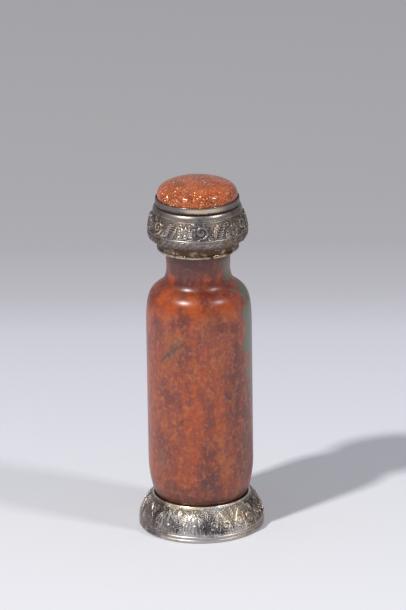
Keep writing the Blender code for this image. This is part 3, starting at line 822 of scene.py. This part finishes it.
# Foot: the brown patches at both sides are painted shade, and the two brightened ones in front are painted
# highlights
FOOT_TARNISH_AND_PAINTED_LIGHT = (
    ((-64.0, 4.5, 32.0, 6.0, 0.0), BROWN_TARNISH_AND_SHADE), ((64.0, 4.5, 20.0, 6.0, 0.0), BROWN_TARNISH_AND_SHADE),
    ((-58.0, 3.6, 17.0, 5.0, 0.0), BLUED),
    ((-34.0, 3.4, 12.0, 2.6, 0.0), BLUED), ((8.0, 3.0, 14.0, 1.6, 0.0), BLUED),
    ((-12.0, 6.0, 18.0, 1.8, 0.0), PAINTED_HIGHLIGHT_TONE), ((30.0, 4.6, 9.0, 1.4, 0.0), PAINTED_HIGHLIGHT_TONE),
    ((150.0, 4.0, 30.0, 4.0, 0.0), BROWN_TARNISH_AND_SHADE), ((-140.0, 4.0, 20.0, 3.0, 0.0), BLUED),
)
FOOT_GILDING = (
    (-26.0, 7.4, 26.0, 0.9, 0.0), (38.0, 5.6, 22.0, 2.0, 0.0),
    (120.0, 6.0, 30.0, 2.0, 0.0), (-150.0, 6.0, 26.0, 2.0, 0.0),
)
# Cap: the brown patches at both sides are painted shade, and the two brightened ones in front are painted
# highlights
CAP_TARNISH_AND_PAINTED_LIGHT = (
    ((-66.0, 76.0, 20.0, 6.0, 0.0), BROWN_TARNISH_AND_SHADE), ((64.0, 76.0, 24.0, 6.0, 0.0), BROWN_TARNISH_AND_SHADE),
    ((4.0, 76.5, 9.0, 3.0, 0.0), BLUED), ((0.0, 72.0, 180.0, 1.5, 0.0), BROWN_TARNISH_AND_SHADE),
    ((-22.0, 76.6, 9.0, 2.0, 0.0), PAINTED_HIGHLIGHT_TONE), ((24.0, 77.0, 10.0, 2.0, 0.0), PAINTED_HIGHLIGHT_TONE),
    ((170.0, 76.0, 40.0, 4.0, 0.0), BROWN_TARNISH_AND_SHADE),
)
CAP_GILDING = ((-52.0, 76.5, 9.0, 3.0, 0.0), (40.0, 73.0, 14.0, 1.2, 0.0), (140.0, 75.0, 14.0, 3.0, 0.0))

foot_silver = silver_finish("foot_silver", FOOT_TONES, 0.26, 2.0, FOOT_TARNISH_AND_PAINTED_LIGHT, FOOT_GILDING)
cap_silver = silver_finish("cap_silver", CAP_TONES, 0.28, 31.0, CAP_TARNISH_AND_PAINTED_LIGHT, CAP_GILDING)

# %% [markdown]
# ## The foot
#
# The foot flares out from a seat round the bottle to a reeded rim. Thirteen pointed leaves stand side by
# side on its slope. Most have ribs that fan out from the tip behind a raised edge, and the others have two
# curls. Small leaves hang between the tips over slanting strokes, under a row of punched dots, and a fringe
# of short tongues runs along the rim. The slope is drawn fine, and the rest of the section stays coarse.

# %% Foot sizes
LEAF_COUNT = 13
LEAF_FRONT_DEG = -10.0
FOOT_SHEET = 0.9
FOOT_BOW = 0.55
SLOPE_INSET = 0.20
SLOPE_LOW = 1.74
SLOPE_STEPS = 74
STANDING_WIDTH = 2.1
SEAT_CLEARANCE = 0.15
SEAT_DEPTH = 0.7
SEAT_EDGE = 0.3
RELIEF_ROOM = 0.02
rim_radius = FOOT_RADIUS - RELIEF_ROOM
print(f"{LEAF_COUNT} leaves, one every {FULL_TURN * rim_radius / LEAF_COUNT:.1f} mm along the rim")


# %% Foot profile
def base_radius_at(height):
    """The bottle's radius on its rounded base, at a height over the table."""
    drop = (wall_foot - height) / BASE_ROUND
    return BASE_FLAT + (BODY_RADIUS - BASE_FLAT) * math.sqrt(1.0 - drop * drop)


def foot_parts(leaf):
    """The foot's profile in stretches, from the top of the slope down and round to the seat."""
    seat = base_radius_at(FOOT_TOP) + SEAT_CLEARANCE
    seat_low = base_radius_at(FOOT_TOP - SEAT_DEPTH) + SEAT_CLEARANCE
    start = (rim_radius - SLOPE_INSET, SLOPE_LOW)
    slope = bowed(start, (seat + 0.58, FOOT_TOP - 0.42), FOOT_BOW, SLOPE_STEPS)
    bead = ellipse((seat + 0.28, FOOT_TOP - 0.25), (0.26, 0.25), 190, -35, 9)
    reed = ellipse((rim_radius - 0.34, 1.36), (0.34, 0.33), 60, -70, 6)
    flange = ellipse((rim_radius - 0.42, 0.42), (0.36, 0.42), 80, -80, 6)
    under = [(rim_radius - STANDING_WIDTH, 0.0)]
    inside = bowed((rim_radius - FOOT_SHEET, 1.7), (seat_low + SEAT_EDGE, FOOT_TOP - 1.0), FOOT_BOW, 5)
    socket = [(seat_low, FOOT_TOP - SEAT_DEPTH)]
    return [
        (list(reversed(slope)), leaf), (reed, 0.55), (flange, 0.45), (under, 0.3), (inside, 0.3),
        (socket, 0.05), (bead, 0.95),
    ]


# %% Forms between and below the leaves
LEAF_DEPTH = 0.26
TIP_SHARE = 0.93
SLANT_PITCH = 0.46
DOT_PITCH = 0.60
DOT_ROW = 0.955


def arch(x, y, tip, half_width, exponent):
    """The distance in from the outline of a pointed arch that stands on the rim."""
    share = np.clip(y / tip, 0.0, 1.0)
    outline = half_width * (1.0 - share ** exponent)
    steepness = half_width * exponent * share ** (exponent - 1.0) / tip
    inside = (outline - np.abs(x)) / np.sqrt(1.0 + steepness ** 2)
    return np.where(y > tip, -np.hypot(x, y - tip), inside)


def hanging_leaves(sheet, length, cell):
    """Leaves that hang between the tips over slanting strokes, with a row of dots at the seat."""
    slant = (sheet.y + 0.9 * np.abs(sheet.x) + 0.15 * np.sin(3.0 * sheet.x)) / SLANT_PITCH
    sheet.height = 0.30 * ridge(slant - np.round(slant), 0.5)
    sheet.lines = 0.85 * ink((np.abs(slant - np.round(slant)) - 0.5) * SLANT_PITCH, 0.09)
    for side in (-1, 1):
        root = np.array([side * cell, length - 0.35])
        sheet.leaf(arc_line(root, root + np.array([-side * 1.7, -1.5]), 0.2 * side), 0.50, 4, 0.55)
        sheet.leaf(arc_line(root, root + np.array([0.0, -3.4]), 0.0), 0.72, 5, 0.7)
    beside = ((sheet.x / DOT_PITCH + 0.5) % 1.0 - 0.5) * DOT_PITCH
    dots = np.hypot(beside, sheet.y - DOT_ROW * length)
    sheet.height = np.maximum(sheet.height, 0.5 * ridge(dots, 0.15))


def fringe(sheet, start, pitch):
    """A row of short tongues along the rim."""
    across_one = np.abs(((sheet.x + 0.3 * sheet.y) / pitch + 0.5) % 1.0 - 0.5) * pitch
    half = 0.42 * pitch * np.clip((start - sheet.y) / 0.5, 0.0, 1.0) ** 0.5
    inside = np.where(sheet.y < start, half - across_one, -1.0)
    sheet.lay(inside, 0.30 + 0.35 * ridge(across_one, np.maximum(half, 1e-4)), 0.0)


def edge_fade(y, length, low, high):
    """1 over the chased field, 0 at its lower and upper edge."""
    return np.clip(y / low, 0.0, 1.0) * np.clip((length - y) / high, 0.0, 1.0)


def leaf_result(sheet, length, cell):
    """The finished leaf, with a fine valley at its sides where the next leaf begins."""
    beside = ink(cell - np.abs(sheet.x), 0.10)
    sheet.height = sheet.height * (1.0 - beside)
    sheet.lines = sheet.lines * (1.0 - beside) + 0.6 * beside
    heights, shine, _ = sheet.result(edge_fade(sheet.y, length, 0.45, 0.12), LEAF_DEPTH, 0.46)
    return heights, shine, edge_fade(sheet.y, length, 1.5, 0.9)


# %% The two kinds of leaf
def feathered_leaf(x, y):
    """A pointed leaf whose ribs fan out from its tip: few near the tip and more below, like feathers."""
    length, cell = float(y.max()), float(x.max())
    sheet = Sheet(x, y)
    tip = TIP_SHARE * length
    hanging_leaves(sheet, length, cell)
    inside = arch(x, y, tip, 0.99 * cell, 1.75)
    bend = x * (1.0 + 0.14 * np.sin(1.1 * y + 0.4)) + 0.10 * np.sin(2.3 * y + 1.7 * x)
    reach = tip + 0.9 - y
    step = np.where(y + 0.8 * np.sin(2.0 * x) > 0.45 * tip, 4.0, 7.0)
    turns = step * bend / reach
    across_one = np.abs(turns - np.round(turns)) * reach / step
    half = 0.5 * reach / step
    sheet.lay(inside, 0.22 + 0.62 * ridge(half - across_one, half), ink(across_one, 0.11))
    sheet.lay(inside * (0.40 - inside), 0.95 * plateau(inside, 0.0, 0.40, 0.14), 0.0, 0.6)
    fringe(sheet, 0.9, 2.0 * cell / 9.0)
    return leaf_result(sheet, length, cell)


def curled_leaf(x, y):
    """A rounder leaf with two curls inside its arch and a small palm between them."""
    length, cell = float(y.max()), float(x.max())
    sheet = Sheet(x, y)
    tip = TIP_SHARE * length
    hanging_leaves(sheet, length, cell)
    inside = arch(x, y, tip, 0.99 * cell, 2.3)
    hatch = (x * 0.8 + y) / 0.34
    line = ink((hatch - np.round(hatch)) * 0.27, 0.06)
    sheet.lay(inside, 0.38 - 0.1 * line, 0.6 * line)
    sheet.lay(inside * (0.38 - inside), 0.9 * plateau(inside, 0.0, 0.38, 0.14), 0.0, 0.6)
    for side in (-1, 1):
        centre = (side * 0.46 * cell, 0.40 * length)
        curl = spiral_line(centre, 1.12, 1.3 * side, -90)
        sheet.stroke(curl, 0.30, 0.95)
        for i in range(3):
            root = np.array([side * (0.2 + 0.55 * i), 0.55])
            end = root + np.array([side * (0.15 + 0.25 * i), 1.3 - 0.25 * i])
            sheet.leaf(arc_line(root, end, -0.12 * side), 0.32, 2, 0.85)
    sheet.leaf(arc_line((0.0, 0.5), (0.0, 0.80 * tip), 0.0), 0.55, 5, 0.9)
    fringe(sheet, 0.8, 2.0 * cell / 10.0)
    return leaf_result(sheet, length, cell)


# %% Foot piece
LEAF_TURN = FULL_TURN / LEAF_COUNT
LEAF_COLUMNS = 71
foot_wedges = [
    wedge("feathered_wedge", foot_parts(feathered_leaf), LEAF_TURN, LEAF_COLUMNS, closed=True),
    wedge("curled_wedge", foot_parts(curled_leaf), LEAF_TURN, LEAF_COLUMNS, closed=True),
]
foot = set_round(
    "silver_foot", foot_wedges, LEAF_COUNT, LEAF_FRONT_DEG - 90.0, foot_silver,
    sway=0.0032, seed=3.0, others=3,
)

# %% [markdown]
# ## The collar
#
# Below the cap sits a plain gilt band with a rounded lip, and its plug goes down into the mouth. It is
# turned like the bottle. The real one was bent from a strip and soldered, so the finish draws a fine dark
# seam up the band.

# %% Gilt finish
LIP_HEIGHT = 1.1
SEAM_DEG = -34.0
DEEP_BROWN = colour(0.095, 0.056, 0.032)
WORN_GILT = colour(0.53, 0.415, 0.31)
SEAM_DIRT = colour(0.05, 0.03, 0.02)
collar_low = BOTTLE_TOP + 0.3


def gilt_finish():
    """Worn silver-gilt: bright on the lip, brown on the band, with soft stains and one soldered seam."""
    material, tree, shader, place = new_finish("collar_gilt")
    stain = noise(tree, place, 0.5, 3.0, 0.6, 4.0)
    fine = noise(tree, place, 3.0, 2.0, 0.6, 8.0)
    azimuth, height = around(tree, place)
    off_seam = calc(tree, "ABSOLUTE", calc(tree, "SUBTRACT", azimuth, SEAM_DEG))
    lip = ramp(tree, height, collar_low + LIP_HEIGHT + 0.05, collar_low + 0.75)
    level = calc(tree, "MULTIPLY_ADD", calc(tree, "SUBTRACT", fine, 0.5), 0.4, stain)
    level = calc(tree, "MULTIPLY_ADD", lip, 0.16, level)
    base = blend(tree, ramp(tree, level, 0.48, 0.76), DEEP_BROWN, WORN_GILT)
    fill(tree, shader, {
        "Base Color": blend(tree, ramp(tree, off_seam, 1.1, 0.5), base, SEAM_DIRT), "Metallic": 1.0,
        "Roughness": ramp(tree, level, 0.3, 0.7, 0.36, 0.2), "Normal": bump(tree, fine, 0.12, 0.03),
    })
    return material


# %% Collar piece
BAND_RECESS = 0.27
PLUG_RADIUS = 3.4


def collar_profile():
    """From the middle of the top plate down over the band and the lip to the plug."""
    half = LIP_HEIGHT / 2
    band = COLLAR_RADIUS - BAND_RECESS
    meets_deg = math.degrees(math.acos(1.0 - BAND_RECESS / half))
    lip = ellipse((COLLAR_RADIUS - half, collar_low + half), (half, half), meets_deg, -90, 14)
    plug = [
        (PLUG_RADIUS, collar_low), (PLUG_RADIUS, PLUG_LOW + 0.4), (PLUG_RADIUS - 0.12, PLUG_LOW + 0.12),
        (PLUG_RADIUS - 0.4, PLUG_LOW), (0.0, PLUG_LOW),
    ]
    return [(0.0, COLLAR_TOP), (band - 0.08, COLLAR_TOP), (band, COLLAR_TOP - 0.08)] + lip + plug


collar_gilt = gilt_finish()
collar = turned("gilt_collar", collar_profile(), 192, collar_gilt)

# %% [markdown]
# ## The cap
#
# The cap bulges over the collar. Slanting gadroons run round its lower edge, a thin border line lies above
# them, and a frieze of leaves, flowers and curls fills the widest part over a hatched ground. The top is a
# plain polished band under a fine line. It is chased like the foot, with six repeats of one wedge.

# %% Cap sizes
SCROLL_COUNT = 6
SCROLL_FRONT_DEG = -13.5
GADROONS_PER_REPEAT = 8
CAP_FOOT_RADIUS = 10.2
CAP_BULGE_RADIUS = 11.7
GADROON_HEIGHT = 2.3
BORDER_HEIGHT = 0.4
FRIEZE_HEIGHT = 4.1
FRIEZE_TAPER = 1.15
LINE_HEIGHT = 0.25
CAP_TOP_RADIUS = BEZEL_RADIUS + 0.15
print(f"frieze: one repeat every {FULL_TURN * CAP_BULGE_RADIUS / SCROLL_COUNT:.1f} mm")


# %% Cap profile
def cap_parts():
    """The cap's profile in stretches, from its top edge down to its underside."""
    gadroon_top = CAP_LOW + GADROON_HEIGHT
    frieze_low = gadroon_top + BORDER_HEIGHT
    frieze_top = frieze_low + FRIEZE_HEIGHT
    shoulder = CAP_BULGE_RADIUS - FRIEZE_TAPER
    band = bowed((shoulder, frieze_top + LINE_HEIGHT), (CAP_TOP_RADIUS, CAP_TOP - 0.1), 0.1, 8)
    top = [(0.0, CAP_TOP), (CAP_TOP_RADIUS - 0.12, CAP_TOP)]
    line = [(shoulder - 0.02, frieze_top + 0.2), (shoulder - 0.16, frieze_top + 0.11)]
    field = bowed((CAP_BULGE_RADIUS, frieze_low), (shoulder, frieze_top), 0.12, 54)
    border = ellipse((CAP_BULGE_RADIUS - 0.06, gadroon_top + BORDER_HEIGHT / 2), (0.17, 0.16), 70, -70, 5)
    low_band = bowed((CAP_FOOT_RADIUS, CAP_LOW), (CAP_BULGE_RADIUS, gadroon_top - 0.02), 0.65, 30)
    under = [(CAP_FOOT_RADIUS - 0.4, CAP_LOW), (0.0, CAP_LOW)]
    return [
        (top, 0.3), (list(reversed(band)), 0.62), (line, 0.1), (list(reversed(field)), frieze),
        (border, 0.7), (list(reversed(low_band)), gadroons), (under, 0.2),
    ]


# %% Frieze drawing
FRIEZE_DEPTH = 0.28
HATCH_PITCH = 0.28
# How far each petal of the tulip leans aside, and how high it reaches
PETALS = ((-2.1, 1.9), (2.0, 1.8), (-1.6, 2.6), (1.55, 2.5), (-0.85, 3.1), (0.8, 3.1), (0.0, 3.35))


def frieze(x, y):
    """One repeat of the frieze: a plume, a tulip and a curl over a hatched ground."""
    length, cell = float(y.max()), float(x.max())
    sheet = Sheet(x, y)
    hatch = (y + 0.12 * np.sin(4.0 * math.pi * x / cell)) / HATCH_PITCH
    sheet.lines = 0.55 * ink((hatch - np.round(hatch)) * HATCH_PITCH, 0.06)
    plume, tulip, curl = -0.60 * cell, -0.03 * cell, 0.61 * cell
    for turn in (0.0, 2 * cell, -2 * cell):
        near = Sheet(x - turn, y)
        near.height, near.lines = sheet.height, sheet.lines
        for side in (-1, 1):
            for i in range(6):
                root = np.array([plume - 1.30 + 0.36 * i, 0.30 + 0.54 * i])
                reach = 2.15 - 0.24 * i
                end = root + np.array([side * reach * 0.8 + 0.25, 0.72 * reach - 0.14 * side])
                near.leaf(arc_line(root, end, -0.22 * side), 0.40, 2, 0.8)
        near.leaf(arc_line((plume - 1.4, 0.2), (plume + 1.15, 4.05), 0.25), 0.58, 6, 1.0)
        near.leaf(arc_line((tulip, 0.30), (tulip - 2.1, 1.45), 0.3), 0.50, 3, 0.75)
        near.leaf(arc_line((tulip, 0.30), (tulip + 2.1, 1.25), -0.3), 0.50, 3, 0.75)
        for lean, reach in PETALS:
            petal = arc_line((tulip + 0.15 * lean, 0.85), (tulip + lean, 0.6 + reach), -0.12 * lean)
            near.leaf(petal, 0.48, 2, 0.95)
        near.ring((tulip, 0.90), 0.32, 0.24, 0.9)
        for i in range(7):
            angle = math.radians(-75 + 44 * i)
            root = np.array([curl + 1.35 * math.cos(angle), 2.10 + 1.30 * math.sin(angle)])
            end = root + 1.15 * np.array([math.cos(angle + 0.6), math.sin(angle + 0.6)])
            near.leaf(arc_line(root, end, 0.15), 0.40, 2, 0.8)
        near.stroke(arc_line((curl - 2.2, 0.25), (curl - 0.2, 0.60), -0.25), 0.28, 0.8)
        near.stroke(spiral_line((curl, 2.10), 1.55, 1.5, -100), 0.38, 1.0)
        near.leaf(arc_line((curl - 2.6, 3.95), (curl - 1.3, 2.5), 0.3), 0.46, 3, 0.75)
        near.ring((plume + 1.75, 0.55), 0.36, 0.22, 0.8)
        near.ring((curl + 1.95, 0.50), 0.34, 0.22, 0.8)
        near.stroke(spiral_line((plume + 1.95, 3.40), 0.66, 1.1, 160), 0.24, 0.8)
        sheet.height, sheet.lines = near.height, near.lines
    return sheet.result(edge_fade(y, length, 0.22, 0.22), FRIEZE_DEPTH)


def gadroons(x, y):
    """Low slanting gadroons with a fine line cut between them."""
    length, cell = float(y.max()), float(x.max())
    sheet = Sheet(x, y)
    pitch = 2 * cell / GADROONS_PER_REPEAT
    across_one = np.abs((x - 0.9 * y + 0.2 * np.sin(2.0 * y)) / pitch % 1.0 - 0.5) * pitch
    sheet.height = 0.45 * ridge(across_one, 0.5 * pitch)
    sheet.lines = 0.7 * ink(0.5 * pitch - across_one, 0.08)
    for i in range(3):
        middle = (-0.7 + 0.7 * i) * cell
        sheet.stroke(spiral_line((middle, 0.55 * length), 0.52, 1.1, 200), 0.2, 0.75)
    return sheet.result(edge_fade(y, length, 0.25, 0.25), 0.18, 0.32)


# %% Cap piece
CAP_COLUMNS = 150
cap_wedge = wedge("cap_wedge", cap_parts(), FULL_TURN / SCROLL_COUNT, CAP_COLUMNS, closed=False)
cap = set_round(
    "silver_cap", [cap_wedge], SCROLL_COUNT, SCROLL_FRONT_DEG - 90.0, cap_silver, sway=0.0012, seed=5.0,
)

# %% [markdown]
# ## The bezel
#
# A plain strip of silver stands round the stone, with its upper edge pressed over it. Its finish carries
# a painted highlight in a band across the front, painted shade above and below that band and towards both
# sides, and painted shade with dirt in the corner against the cap. Its section is closed, so it is turned
# as a ring.

# %% Bezel finish
# Where the painted highlight lies: the angle of the front in degrees and the height of its band in mm
LIT_FRONT_DEG = 8.0
HIGHLIGHT_HEIGHT = 0.75
BEZEL_SILVER = colour(0.66, 0.575, 0.48)
BEZEL_GILT = colour(0.68, 0.52, 0.32)
# Painted shade above and below the highlight band and towards both sides; painted shade with dirt in the
# corner
BEZEL_SHADE = colour(0.26, 0.215, 0.18)
BEZEL_SIDE_SHADE = colour(0.20, 0.172, 0.156)
BEZEL_CORNER_SHADE_AND_DIRT = colour(0.09, 0.065, 0.05)


def bezel_finish():
    """A plain strip: a painted highlight in front at mid height, painted shade above, below and at the
    sides, and brown painted shade with dirt towards the corner below.
    """
    material, tree, shader, place = new_finish("bezel_silver")
    azimuth, height_over_table = around(tree, place)
    stain = noise(tree, place, 0.6, 3.0, 0.6, 12.0)
    fine = noise(tree, place, 3.5, 2.0, 0.6, 16.0)
    height = calc(tree, "SUBTRACT", height_over_table, BEZEL_LOW)
    level = calc(tree, "MULTIPLY_ADD", calc(tree, "SUBTRACT", stain, 0.5), 1.2, height)
    # Painted highlight: a band at the middle of the height, brightest in front; painted shade elsewhere
    lit_band = ramp(tree, calc(tree, "ABSOLUTE", calc(tree, "SUBTRACT", height, HIGHLIGHT_HEIGHT)), 0.55, 0.25)
    lit_front = ramp(tree, calc(tree, "ABSOLUTE", calc(tree, "SUBTRACT", azimuth, LIT_FRONT_DEG)), 38.0, 12.0)
    metal_and_painted_light = blend(tree, ramp(tree, stain, 0.42, 0.6), BEZEL_SILVER, BEZEL_GILT)
    metal_and_painted_light = blend(tree, lit_front, BEZEL_SIDE_SHADE, blend(tree, lit_band, BEZEL_SHADE, metal_and_painted_light))
    # Brown painted shade with dirt towards the corner against the cap
    fill(tree, shader, {
        "Base Color": blend(tree, ramp(tree, level, 0.1, 0.55), BEZEL_CORNER_SHADE_AND_DIRT, metal_and_painted_light), "Metallic": 1.0,
        "Roughness": ramp(tree, fine, 0.3, 0.7, 0.20, 0.30), "Normal": bump(tree, fine, 0.15, 0.03),
    })
    return material


# %% Bezel piece
def bezel_profile():
    """A closed section: down the outer face, across the foot and up the inner face."""
    inner = STONE_RADIUS + 0.15
    height = BEZEL_TOP - BEZEL_LOW
    waist = (BEZEL_RADIUS - 0.02, BEZEL_LOW + 0.45 * height)
    outer = cubic(
        (BEZEL_RADIUS - 0.12, BEZEL_TOP), (BEZEL_RADIUS - 0.02, BEZEL_TOP - 0.02),
        (BEZEL_RADIUS - 0.10, BEZEL_LOW + 0.6 * height), waist, 8,
    )
    foot_lip = cubic(
        (BEZEL_RADIUS - 0.04, BEZEL_LOW + 0.4 * height), (BEZEL_RADIUS, BEZEL_LOW + 0.3 * height),
        (BEZEL_RADIUS, BEZEL_LOW + 0.1 * height), (BEZEL_RADIUS - 0.05, BEZEL_LOW), 6,
    )
    return outer + foot_lip + [(inner, BEZEL_LOW), (inner, BEZEL_TOP - 0.03), (inner + 0.06, BEZEL_TOP)]


bezel_silver = bezel_finish()
bezel = turned("silver_bezel", bezel_profile(), 192, bezel_silver, closed=True)

# %% [markdown]
# ## The goldstone
#
# Goldstone is brown glass full of flat copper crystals. Each crystal is a tiny mirror at its own angle, and
# the polished glass over them is smooth. So the shader has two layers: below, cells of copper whose normals
# all tilt differently, and above, a clear coat that keeps the dome's own normal.

# %% Goldstone finish
FLAKES_PER_MM = 2.6
FINE_FLAKES_PER_MM = 5.5
FLAKE_TILT = 1.3
DARK_GLASS = colour(0.34, 0.044, 0.009)
RED_GLASS = colour(0.68, 0.120, 0.019)
LIT_GLASS = colour(0.60, 0.140, 0.040)
DEEP_GLASS = colour(0.10, 0.014, 0.006)
COPPER = colour(1.0, 0.52, 0.25)


def flakes(tree, place, per_mm):
    """Cells in the glass, as the random colour that each cell has throughout."""
    inputs = {"Vector": place, "Scale": per_mm, "Randomness": 1.0}
    return add(tree, "ShaderNodeTexVoronoi", inputs).outputs["Color"]


def goldstone_finish():
    """Brown glass with copper platelets under a clear polish."""
    material, tree, shader, place = new_finish("goldstone")
    fine = flakes(tree, place, FINE_FLAKES_PER_MM)
    pick = add(tree, "ShaderNodeSeparateColor", {0: flakes(tree, place, FLAKES_PER_MM)}).outputs
    fine_pick = add(tree, "ShaderNodeSeparateColor", {0: fine}).outputs
    cloud = noise(tree, place, 0.30, 3.0, 0.6, 14.0)
    glass = blend(tree, ramp(tree, cloud, 0.38, 0.62), DARK_GLASS, RED_GLASS)
    glass = blend(tree, ramp(tree, fine_pick[1], 0.3, 0.95, 0.0, 0.7), glass, LIT_GLASS)
    glass = blend(tree, ramp(tree, fine_pick[2], 0.75, 0.95, 0.0, 0.7), glass, DEEP_GLASS)
    fine_spark = ramp(tree, fine_pick[0], 0.80, 0.90, 0.0, 0.8)
    lit = calc(tree, "MAXIMUM", ramp(tree, pick[0], 0.88, 0.94), fine_spark)
    normal = add(tree, "ShaderNodeNewGeometry").outputs["Normal"]
    tilt = vector(tree, "SUBTRACT", {0: fine, 1: (0.5, 0.5, 0.5)})
    leaned = vector(tree, "MULTIPLY_ADD", {0: tilt, 1: (FLAKE_TILT,) * 3, 2: normal})
    fill(tree, shader, {
        "Base Color": blend(tree, lit, glass, COPPER), "Metallic": ramp(tree, lit, 0.0, 1.0, 0.0, 0.8),
        "Roughness": ramp(tree, lit, 0.0, 1.0, 0.5, 0.30), "Normal": vector(tree, "NORMALIZE", {0: leaned}),
        "Specular IOR Level": 0.1, "Coat Weight": 1.0, "Coat Roughness": 0.12, "Coat IOR": 1.40,
    })
    return material


# %% Stone piece
GIRDLE_HEIGHT = 2.2
CROWN_HOLD = 0.64
EDGE_HOLD = 0.68
BASE_BEVEL = 0.25


def stone_profile():
    """From the crown of the dome over its round edge and down the girdle to the flat base."""
    girdle = STONE_LOW + GIRDLE_HEIGHT
    dome = cubic(
        (0.0, STONE_TOP), (CROWN_HOLD * STONE_RADIUS, STONE_TOP),
        (STONE_RADIUS, girdle + EDGE_HOLD * (STONE_TOP - girdle)), (STONE_RADIUS, girdle), 48,
    )
    bevel = [(STONE_RADIUS, STONE_LOW + BASE_BEVEL), (STONE_RADIUS - BASE_BEVEL, STONE_LOW)]
    return dome + bevel + [(0.0, STONE_LOW)]


goldstone = goldstone_finish()
stone = turned("goldstone_cabochon", stone_profile(), 192, goldstone)

# %% [markdown]
# ## Floor and light
#
# A pale sheet lies under the bottle and turns grey behind it; that grey is the fall of light, painted into
# the sheet's tone. A small strong lamp stands to the front left, 51 degrees up. It throws the crisp shadow
# to the right and back, and a small lamp is what makes a shadow crisp. A wider, weaker one stands to the
# front right and leaves only a faint second shadow. Both show as bright spots on the shoulder and on the
# stone, and a pale sky fills the rest.

# %% Floor
FLOOR_HALF = 4.0
# The sheet's tone, with the fall of light painted in, at each distance behind the bottle's axis, in metres
FLOOR_FALLOFF_TONES = (
    (-0.06, (0.87, 0.88, 0.925)), (0.0, (0.82, 0.83, 0.87)), (0.05, (0.775, 0.78, 0.84)),
    (0.10, (0.72, 0.72, 0.795)), (0.135, (0.665, 0.665, 0.735)), (0.165, (0.55, 0.545, 0.59)),
    (0.21, (0.475, 0.464, 0.496)), (0.26, (0.458, 0.452, 0.469)),
)


def floor_finish():
    """A pale sheet whose tone falls off behind the bottle as painted shade, for the light falling off."""
    material, tree, shader, place = new_finish("backdrop_paper")
    axes = add(tree, "ShaderNodeSeparateXYZ", {0: place}).outputs
    first, last = FLOOR_FALLOFF_TONES[0][0], FLOOR_FALLOFF_TONES[-1][0]
    behind = calc(tree, "SUBTRACT", axes[1], first / MM)
    along = calc(tree, "DIVIDE", behind, (last - first) / MM, clamp=True)
    tones = add(tree, "ShaderNodeValToRGB", {0: along})
    stops = tones.color_ramp.elements
    for depth, _ in FLOOR_FALLOFF_TONES[1:-1]:
        stops.new((depth - first) / (last - first))
    for stop, (_, tone) in zip(stops, FLOOR_FALLOFF_TONES):
        stop.color = (*tone, 1.0)
    fill(tree, shader, {"Base Color": tones.outputs[0], "Roughness": 0.9, "Specular IOR Level": 0.1})
    return material


floor_mesh = bpy.data.meshes.new("floor")
corners = [(x * FLOOR_HALF, y * FLOOR_HALF, 0.0) for x, y in ((-1, -1), (1, -1), (1, 1), (-1, 1))]
floor_mesh.from_pydata(corners, [], [(0, 1, 2, 3)])
floor_mesh.materials.append(floor_finish())
floor_sheet = in_scene("floor", floor_mesh)
print(f"floor: {2 * FLOOR_HALF:.0f} m square, {len(FLOOR_FALLOFF_TONES)} tones")


# %% Lights
LAMP_DISTANCE = 2.4
SKY_STRENGTH = 0.37


def studio_light(name, azimuth_deg, elevation_deg, size, power, tone):
    """A rectangular lamp that faces the bottle; azimuth is measured to the right of the camera."""
    azimuth, elevation = math.radians(azimuth_deg), math.radians(elevation_deg)
    flat = math.cos(elevation)
    direction = Vector((math.sin(azimuth) * flat, -math.cos(azimuth) * flat, math.sin(elevation)))
    light = bpy.data.lights.new(name, "AREA")
    light.shape = "RECTANGLE"
    light.size, light.size_y = size
    light.energy = power
    light.color = tone
    lamp = in_scene(name, light)
    lamp.location = AIM + direction * LAMP_DISTANCE
    lamp.rotation_euler = (-direction).to_track_quat("-Z", "Y").to_euler()
    print(f"{name}: {power} W at {azimuth_deg} degrees, {elevation_deg} degrees up")


studio_light("key_light", -47.0, 51.0, (0.15, 0.13), 37.0, (1.0, 0.99, 0.97))
studio_light("fill_light", 62.0, 47.0, (0.28, 0.34), 13.5, (1.0, 0.98, 0.97))

world = bpy.data.worlds.new("studio")
world.use_nodes = True
sky = {"Color": colour(0.80, 0.82, 0.88), "Strength": SKY_STRENGTH}
fill(world.node_tree, world.node_tree.nodes["Background"], sky)
bpy.context.scene.world = world

# %% [markdown]
# ## Tie every piece to the model
#
# Nothing on the bottle moves on a joint, so every piece rides on the one body. Each fine piece stands for
# the plain solid of the same thing, which is hidden; each finish already bears the slot name listed beside
# it.

# %% Ride and replace
FINISHED = (
    (bottle, "bottle", "jade"),
    (foot, "foot_mount", "foot_silver"),
    (collar, "stopper_collar", "collar_gilt"),
    (cap, "stopper_cap", "cap_silver"),
    (bezel, "stone_bezel", "bezel_silver"),
    (stone, "cabochon", "goldstone"),
)
for piece, node_name, slot_name in FINISHED:
    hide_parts(node_name)
    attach(piece, "root")
    print(f"{piece.name} stands for {node_name}: {len(piece.data.polygons)} faces")
